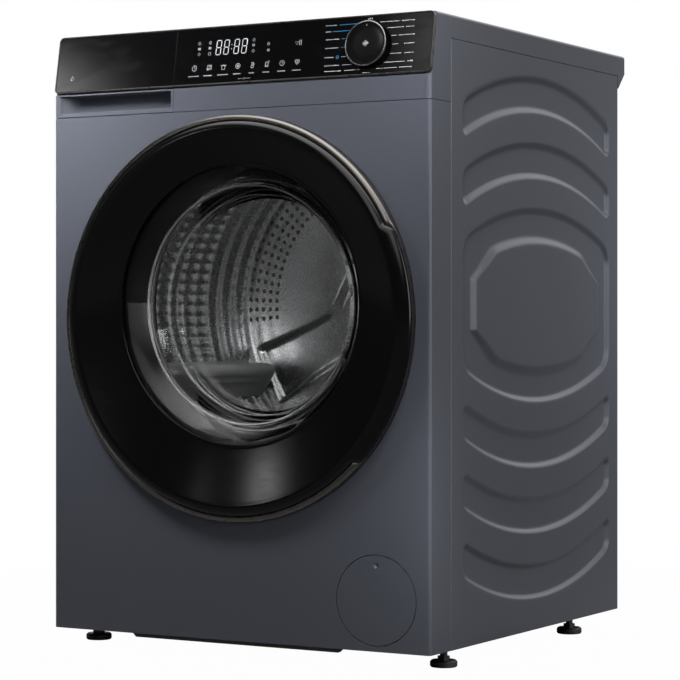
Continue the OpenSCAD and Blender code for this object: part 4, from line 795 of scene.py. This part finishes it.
def paddles():
    d = paddle
    count = len(d["section"])
    bpy.ops.object.select_all(action="DESELECT")
    bpy.ops.mesh.primitive_circle_add(vertices=count, radius=1, rotation=(math.radians(90), 0, 0))
    piece = bpy.context.object
    settle(piece)
    for vertex, (across, up) in zip(piece.data.vertices, d["section"]):
        vertex.co = (across * mm, 0, up * mm)
    y, scale = d["ends"][0]
    openMesh(piece)
    bpy.ops.mesh.edge_face_add()
    bpy.ops.transform.resize(value=(scale, 1, scale), center_override=(0, 0, 0))
    stops = list(d["ends"][1:]) + [(d["last"] - far + d["ends"][0][0], s) for far, s in reversed(d["ends"])]
    for nextY, nextScale in stops:
        bpy.ops.mesh.extrude_region_move(TRANSFORM_OT_translate={"value": (0, (nextY - y) * mm, 0)})
        factor = nextScale / scale
        bpy.ops.transform.resize(value=(factor, 1, factor), center_override=(0, 0, 0))
        y, scale = nextY, nextScale
    closeMesh()
    facingOut(piece)
    chosen(piece, lambda c: 0.1 < c.y < 0.2 and 0.014 < c.z < 0.042, "FACE")
    bpy.ops.mesh.inset(thickness=0.0022, depth=-0.0016, use_individual=True)
    closeMesh()
    applied(piece, "SUBSURF", levels=2, render_levels=2)
    made = []
    for angle in d["angles"]:
        turn = math.radians(angle + drum["turn"])
        copy = bpy.data.objects.new("paddle", piece.data.copy())
        bpy.context.scene.collection.objects.link(copy)
        out = Vector((math.cos(turn), 0, math.sin(turn)))
        side = Vector((math.sin(turn), 0, -math.cos(turn)))
        start = spot(axisX, d["ends"][0][0], drumZ) + out * (drum["radius"] - 1) * mm
        reshaped(copy, lambda p: start + side * p.x + Vector((0, p.y, 0)) - out * p.z)
        made.append(copy)
    bpy.data.objects.remove(piece)
    whole = joined(made, "drum_paddles")
    facingOut(whole)
    smooth(whole, 60)
    return finished(whole, "paddle_grey", "drum", "drum_lifters")


paddles()
print("paddles")

# Console marks, drawn flat in front of the panel's plane and then laid on the glass's slope
slope = {"foot": 770, "lean": math.atan2(14, 80)}
board = {"digits": (-29.2, -16.8, -0.7, 11.6), "digit": (7.2, 19.6, 1.1), "middle": 51.1,
         "colon": (-8.7, 48.3, 54.3), "play": (96.5, 50.3),
         "left": ((-60.6, 58.6), (-60.4, 50.9), (-60.2, 43.4), (-43.4, 58.9), (-43.4, 51.2),
                  (-43.2, 43.4)),
         "right": ((26, 58.6), (26.1, 51.4), (26.2, 43.4), (49.6, 51.8), (50, 43.2)),
         "keys": (-65.6, -42.2, -19, 4.2, 27, 50, 73.4, 96.8), "keyRow": 23.8,
         "keyWords": (17, 15, 17, 13, 9, 11, 12, 14), "wordRow": 13,
         "rows": (70.4, 62, 51.3, 39.6, 27.1, 15.8, 8.2), "thin": 0.42,
         "leftLines": ((157, 186), (148, 175.5), (162, 170), (162.5, 170), (163.6, 171), (165.6, 180),
                       (170, 193)),
         "rightLines": ((217.5, 247), (228.5, 253.5), (236, 243.5), (238, 247), (236, 252.5),
                        (228, 259), (218, 248)),
         "leftWords": ((136, 153), (137, 146), (138, 159), (138, 160), (138.5, 153), (139.5, 162),
                       (140, 166)),
         "rightWords": ((250.5, 270.5), (257, 270.5), (247, 271), (256, 271.5), (257.5, 272),
                        (262.5, 272), (251.5, 271.5))}


def laid(point):
    up, out = point.z / mm - slope["foot"], (front - point.y) / mm
    cos, sin = math.cos(slope["lean"]), math.sin(slope["lean"])
    return spot(point.x / mm, up * sin - out * cos, slope["foot"] + up * cos + out * sin)


def onGlass(x, up, out=0.06):
    return spot(x, -out, slope["foot"] + up)


marks = []


def bar(x, up, wide, high, turn=0, out=0.06):
    bpy.ops.mesh.primitive_cube_add(size=1, location=onGlass(x, up, out),
                                    rotation=(0, math.radians(turn), 0),
                                    scale=(wide * mm, 0.1 * mm, high * mm))
    marks.append(bpy.context.object)


def hoop(x, up, radius, thick=0.42, sides=24, turn=0, out=0.06):
    bpy.ops.mesh.primitive_torus_add(location=onGlass(x, up, out),
                                     rotation=(math.radians(90), math.radians(turn), 0),
                                     major_segments=sides, minor_segments=4, major_radius=radius * mm,
                                     minor_radius=thick * mm / 2)
    marks.append(bpy.context.object)


def box(x, up, wide, high, thick=0.42):
    for side in (-1, 1):
        bar(x + side * wide / 2, up, thick, high + thick)
        bar(x, up + side * high / 2, wide, thick)


def words(x0, x1, up, high=1.5):
    pitch = 1.7
    bar(x0 + 0.6, up, 0.8, high * 0.8)
    piece = marks[-1]
    settle(piece)
    applied(piece, "ARRAY", count=max(int((x1 - x0) / pitch), 2), use_relative_offset=False,
            use_constant_offset=True, constant_offset_displace=(pitch * mm, 0, 0))


def printed(name, look, body):
    whole = joined(marks, name)
    marks.clear()
    settle(whole)
    reshaped(whole, laid)
    facingOut(whole)
    finished(whole, look, body)


def figureEight(x):
    wide, high, thick = board["digit"]
    middle = board["middle"]
    for side in (-1, 1):
        for up in (-high / 4, high / 4):
            bar(x + side * wide / 2 + up * 0.06, middle + up, thick, high / 2 - 1.5, 3.4)
    for up in (-high / 2, 0, high / 2):
        bar(x + up * 0.06, middle + up, wide - 1.4, thick)


def smallIcon(index, x, up):
    if index % 3 == 0:
        hoop(x, up - 0.3, 1.7, 0.5)
        bar(x, up + 1.9, 0.5, 1.1)
    elif index % 3 == 1:
        box(x, up, 3, 2.4, 0.5)
        bar(x, up, 1.6, 0.45)
    else:
        hoop(x, up, 2, 0.5, 4 + index % 2 * 20)


def keyIcon(index, x, up):
    if index in (0, 6):
        hoop(x, up, 3.4, 0.55, 32)
        bar(x, up + 0.9, 0.55, 2)
        bar(x + 0.8, up, 1.7, 0.5, 20)
        if index == 0:
            bar(x, up + 4.4, 1.6, 0.6)
            bar(x + 3.1, up + 3.2, 0.5, 1.4, 40)
    elif index == 1:
        box(x + 0.8, up + 0.6, 6, 5.4, 0.5)
        hoop(x - 1.6, up - 1.8, 1.5, 0.5)
        bar(x + 1.4, up + 1.6, 3.4, 0.5)
        bar(x + 1.8, up - 0.4, 2.6, 0.5)
    elif index == 2:
        box(x, up - 0.8, 4.6, 5.6, 0.5)
        for side in (-1, 1):
            bar(x + side * 3.4, up + 1.6, 0.5, 2.8, side * 38)
            bar(x + side * 1.2, up + 2.2, 2.2, 0.5, side * 24)
    elif index == 3:
        hoop(x, up, 3.4, 0.55, 32)
        for turn in (0, 45, 90, 135):
            bar(x, up, 0.45, 4.2, turn + 20)
    elif index == 4:
        hoop(x, up - 2.2, 1.9, 0.55)
        for side in (-1, 1):
            bar(x + side * 1.0, up + 1.4, 0.5, 4)
        bar(x, up + 3.5, 2.2, 0.5)
        bar(x + 2.4, up + 2.2, 1.4, 0.45)
        bar(x + 2.4, up + 0.6, 1.4, 0.45)
    elif index == 5:
        box(x - 0.4, up - 0.4, 4, 6, 0.5)
        hoop(x + 2.6, up + 3.4, 1.2, 0.45, 3, 30)
        bar(x - 0.4, up - 2.2, 1.6, 0.4)
    else:
        for side in (-1, 1):
            hoop(x + side * 1.6, up + 1.4, 1.7, 0.5)
            bar(x + side * 1.55, up - 1.4, 0.5, 4.6, side * 42)


for x in board["digits"]:
    figureEight(x)
for up in board["colon"][1:]:
    bar(board["colon"][0], up, 1, 1.3)
for index, (x, up) in enumerate(board["left"] + board["right"]):
    smallIcon(index, x, up)
hoop(board["play"][0] - 2.6, board["play"][1], 2.9, 0.55, 3, 90)
for step in (1.6, 4.1):
    bar(board["play"][0] + step, board["play"][1], 0.6, 7.4)
for index, x in enumerate(board["keys"]):
    keyIcon(index, x, board["keyRow"])
    half = board["keyWords"][index] / 2
    words(x - half, x + half, board["wordRow"])
hoop(15.8, 6, 1.5, 0.45, 4)
bar(10, 6, 8, 0.35)
bar(21.6, 6, 8, 0.35)
for row, up in enumerate(board["rows"]):
    if row > 3:
        x0, x1 = board["leftLines"][row]
        bar((x0 + x1) / 2, up, x1 - x0, board["thin"] * 1.2)
    x0, x1 = board["rightLines"][row]
    bar((x0 + x1) / 2, up, x1 - x0, board["thin"] * 1.2)
    words(*board["leftWords"][row], up, 1.4)
    words(*board["rightWords"][row], up, 1.4)
hoop(200.2, 76, 0.95, 0.4)
for x in (202.4, 205):
    bar(x, 76, 0.4, 2)
    bar(x + 0.7, 76.8, 1.2, 0.38)
    bar(x + 0.6, 76, 0.9, 0.38)
words(197, 210, 3.4, 1.3)
hoop(-269, 20, 2.2, 0.5, 24)
bar(-269, 23.2, 0.5, 2.4)
printed("panel_marks", "print_white", "cabinet")
for row in range(4):
    x0, x1 = board["leftLines"][row]
    bar((x0 + x1) / 2, board["rows"][row], x1 - x0, board["thin"] * 1.5)
hoop(157.6, board["rows"][4], 1.8, 0.8, 24)
printed("panel_blue_marks", "print_blue", "cabinet")
print("console marks")

# Knob: dished face with a polished edge, a pointer line and a centre mark
knob = {"x": 203, "up": 40.6, "face": ((0.4, -8.0), (16, -8.1), (24, -8.4), (27.6, -8.9), (28.8, -9.1)),
        "edge": ((28.7, -8.9), (29, -9.35), (29.7, -9.45), (30.3, -9.1), (30.4, -8.3), (29.6, -8.1)),
        "side": ((28.8, -8.3), (30.2, -8.3), (30.3, -7.6), (30.7, -4), (31.3, -0.7), (27.5, -0.7),
                 (27.3, -6))}


def knobPart(name, stops, ends="bridge"):
    height = slope["foot"] + knob["up"]
    placed = [(r * mm, front + y * mm, height * mm) for r, y in stops]
    piece = turned(name, placed, knob["x"] * mm, 128, ends)
    reshaped(piece, laid)
    smooth(piece, 40)
    return piece


faceStops = knob["face"] + ((28.8, -7.6), (0.4, -6.6))
body = joined([knobPart("knob_side", knob["side"]), knobPart("knob_face", faceStops, "fill")], "knob_body")
finished(body, "knob_black", "knob", "program_knob")
finished(knobPart("knob_edge", knob["edge"]), "stainless", "knob")
bar(knob["x"], knob["up"] + 25.4, 0.9, 3.6, 0, 8.55)
hoop(knob["x"], knob["up"], 4.2, 0.55, 4, 0, 8.12)
hoop(knob["x"], knob["up"], 2.3, 0.5, 4, 0, 8.12)
hoop(knob["x"], knob["up"], 0.8, 0.4, 16, 0, 8.12)
printed("knob_marks", "print_white", "knob")
print("knob")

# Panels, mouldings and service parts with their edges rounded
edged = {"top_cover": 0.9, "front_panel": 0.35, "console_housing": 0.5, "control_glass": 0.5,
         "panel_trim": 0.35, "drawer_front": 0.6, "drawer_glass": 0.5, "drawer_trim": 0.35,
         "drawer_tray": 0.5, "siphon_cap": 0.4,
         "dispenser_housing": 0.5, "filter_flap": 0.5, "base_frame": 0.8, "rear_panel": 0.4,
         "rear_access_cover": 0.5, "transit_plugs": 0.8, "inlet_valve": 0.6, "power_gland": 0.8,
         "hinge_bracket": 0.4, "hinge_leaf": 0.4, "latch_hook": 0.5, "door_lock": 0.8, "pump_filter": 0.5}
for node, width in edged.items():
    softened(node, width * mm)
print("edged pieces:", len(edged))

# Cross-head screws of the back, modelled once
backY = (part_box("rear_panel")[1].y - front) / mm
screwSpots = [(x, z) for x in (-279, 279) for z in (60, 200, 340, 480, 620, 760)]
screwSpots += [(x, z) for x in (-190, 190) for z in (200, 440, 680)]
screwSpots += [(0, z) for z in (200, 680)]
screwSpots += [(x, 806) for x in (-150, 0, 270)]


def screws():
    bpy.ops.object.select_all(action="DESELECT")
    bpy.ops.mesh.primitive_cylinder_add(vertices=24, radius=4.2 * mm, depth=2.2 * mm,
                                        rotation=(math.radians(90), 0, 0))
    head = bpy.context.object
    settle(head)
    rounded(head, 0.0008, 3, 30)
    for turn in (0, 90):
        bpy.ops.mesh.primitive_cube_add(size=1, location=(0, 0.0011, 0),
                                        rotation=(0, math.radians(turn), 0),
                                        scale=(0.0048, 0.0022, 0.0009))
        slotTool = bpy.context.object
        settle(slotTool)
        applied(head, "BOOLEAN", operation="DIFFERENCE", solver="EXACT", object=slotTool)
        bpy.data.objects.remove(slotTool)
    made = []
    for x, z in screwSpots:
        copy = bpy.data.objects.new("screw", head.data.copy())
        bpy.context.scene.collection.objects.link(copy)
        covered = abs(x) < 200 and 190 <= z <= 690
        copy.location = spot(x, backY + 1.1 + (1.2 if covered else 0), z)
        made.append(copy)
    bpy.data.objects.remove(head)
    whole = joined(made, "back_screws")
    smooth(whole, 40)
    finished(whole, "zinc_steel", "cabinet")


screws()
print("screws")

# Camera, floor and light
view = {"place": (1.7176, -2.9863, 0.444), "turn": 30.05, "lens": 126.0, "shift": -13 / 680}
cameraData = bpy.data.cameras.new("camera")
cameraData.lens = view["lens"]
cameraData.sensor_width = 36.0
cameraData.shift_y = view["shift"]
cameraData.clip_end = 50
camera = bpy.data.objects.new("camera", cameraData)
camera.location = view["place"]
camera.rotation_euler = (math.radians(90), 0, math.radians(view["turn"]))
bpy.context.scene.collection.objects.link(camera)
bpy.context.scene.camera = camera
bpy.context.scene.view_settings.view_transform = "Standard"

# Strengths of what mirrors see. A card's edges are where it starts, is full, starts to fade and ends,
# each a share of the direction's length to the right, to the back or up
studio = {"room": 0.04, "fill": 0.055, "card": 6.6, "above": 2.8, "side": 2.2, "behind": 0.12,
          "crown": 1.2, "corner": 1.1, "spark": 1.3, "floor": (0.22, 0.22, 0.22, 1)}
cardEdges = {"cardLeft": (0.555, 0.615, 0.63, 0.68), "cardUp": (0.31, 0.34, 0.362, 0.385),
             "cornerRight": (-0.485, -0.466, -0.45, -0.44), "cornerUp": (0.35, 0.375, 0.415, 0.435),
             "above": (0.6, 0.9), "side": (0.7, 0.9), "crownBack": (0.6, 0.8),
             "crownUp": (0.12, 0.35), "spark": (0.92, 0.975), "behind": (0.1, 0.5)}
sparkWay = (0.2, 0.83, 0.52)  # to the right, to the front and up
bpy.context.scene.world = bpy.data.worlds.new("studio")
room = Net(bpy.context.scene.world)
ray = room.node("ShaderNodeLightPath").socket.node.outputs
mirrored = Wire(room, ray["Is Glossy Ray"])
seen = Wire(room, ray["Is Camera Ray"]) + Wire(room, ray["Is Transmission Ray"])
toRight, toBack, toTop = room.axes(room.node("ShaderNodeTexCoord", out="Generated"))


# One side of a card rises over the first two stops and falls over the last two
def rising(way, stops):
    return way.ramp(*stops[:2])


def falling(way, stops):
    return 1 - way.ramp(*stops[2:])


toLeft = 0 - toRight
left = rising(toLeft, cardEdges["cardLeft"])
card = left * left * falling(toLeft, cardEdges["cardLeft"]) * studio["card"]
right = rising(toRight, cardEdges["cornerRight"])
corner = right * right * falling(toRight, cardEdges["cornerRight"]) * studio["corner"]
consoleBand = rising(toTop, cardEdges["cardUp"]) * falling(toTop, cardEdges["cardUp"])
cornerBand = rising(toTop, cardEdges["cornerUp"]) * falling(toTop, cardEdges["cornerUp"])
above = rising(toTop, cardEdges["above"]) * studio["above"]
beside = rising(toRight, cardEdges["side"]) * studio["side"]
crown = rising(toBack, cardEdges["crownBack"]) * rising(toTop, cardEdges["crownUp"]) * studio["crown"]
sparkRight, sparkFront, sparkUp = sparkWay
towardsSpark = toRight * sparkRight - toBack * sparkFront + toTop * sparkUp
spark = rising(towardsSpark, cardEdges["spark"]) * studio["spark"]
behind = rising(toBack, cardEdges["behind"]) * studio["behind"]
reflected = card * consoleBand + corner * cornerBand + above + beside + spark + crown
reflected = reflected + behind + studio["room"]
level = mirrored * reflected + (1 - mirrored) * studio["fill"]
white = room.math("MINIMUM", seen, 1.0)
room.finish(room.node("ShaderNodeBackground", None,
                      {"Color": (1, 1, 1, 1), "Strength": white + (1 - white) * level}))


def lamp(name, place, target, size, power, mirrored=False, spread=180):
    data = bpy.data.lights.new(name, "AREA")
    data.shape = "RECTANGLE"
    data.size, data.size_y = size
    data.energy = power
    data.spread = math.radians(spread)
    made = bpy.data.objects.new(name, data)
    made.location = place
    made.rotation_euler = (Vector(target) - Vector(place)).to_track_quat("-Z", "Y").to_euler()
    made.visible_glossy = mirrored
    made.visible_camera = False
    made.visible_transmission = False
    bpy.context.scene.collection.objects.link(made)


lamp("keySoftbox", (-0.44, -0.68, 1.14), (-0.3, -0.3, 0.73), (0.25, 0.25), 3.1, False, 84)
lamp("lowSoftbox", (0.42, -0.44, 0.22), (0.3, -0.3, 0.22), (0.08, 0.2), 0.35)
lamp("highSoftbox", (0.42, -0.6, 0.92), (0.26, -0.3, 0.82), (0.2, 0.15), 2.4)
lamp("topSoftbox", (0.3, 0.2, 2.6), (0, 0, 0.4), (1.6, 1.2), 8)
lamp("sideSoftbox", (0.75, 0.58, 0.55), (0.3, 0.25, 0.4), (0.2, 0.5), 2.4)
lamp("frontSoftbox", (0.7, -2.2, 1.0), (0, -0.3, 0.45), (0.8, 0.8), 1)
lamp("backSoftbox", (-0.7, 2.0, 1.5), (0, 0.3, 0.4), (0.8, 0.8), 16)
lamp("leftSoftbox", (-1.8, 0.3, 1.3), (-0.3, 0, 0.4), (0.6, 0.6), 6)
lamp("drumSoftbox", spot(-60, 145, drumZ + 50), spot(-50, 413, drumZ - 30), (0.22, 0.2), 0.1, True)
lamp("wallSoftbox", spot(120, 130, drumZ + 110), spot(-240, 240, drumZ), (0.1, 0.1), 0.1, True, 60)

bpy.ops.mesh.primitive_plane_add(size=40, location=(0, 0, -0.0005))
floor = bpy.context.object
floor.name = "floor"
ground = material("paleFloor")
groundX, groundY, _ = ground.axes(ground.place())
far = (groundX * groundX + groundY * groundY).ramp(0.4, 2)
lookedAt = Wire(ground, ground.node("ShaderNodeLightPath").socket.node.outputs["Is Camera Ray"])
cloudy = ground.noise(ground.place(), 2, 2) * 0.04
paper = ground.node("ShaderNodeBsdfPrincipled", None, {
    "Base Color": ground.mix(cloudy, studio["floor"], tint(studio["floor"], 0.95)),
    "Roughness": 0.9,
})
glow = ground.node("ShaderNodeEmission", None, {"Color": (1, 1, 1, 1), "Strength": 1.0})
share = lookedAt * (0.985 + far * 0.015)
ground.finish(ground.node("ShaderNodeMixShader", None, {0: share, 1: paper, 2: glow}))
dress(floor, ground.owner)
print("camera, floor and light")
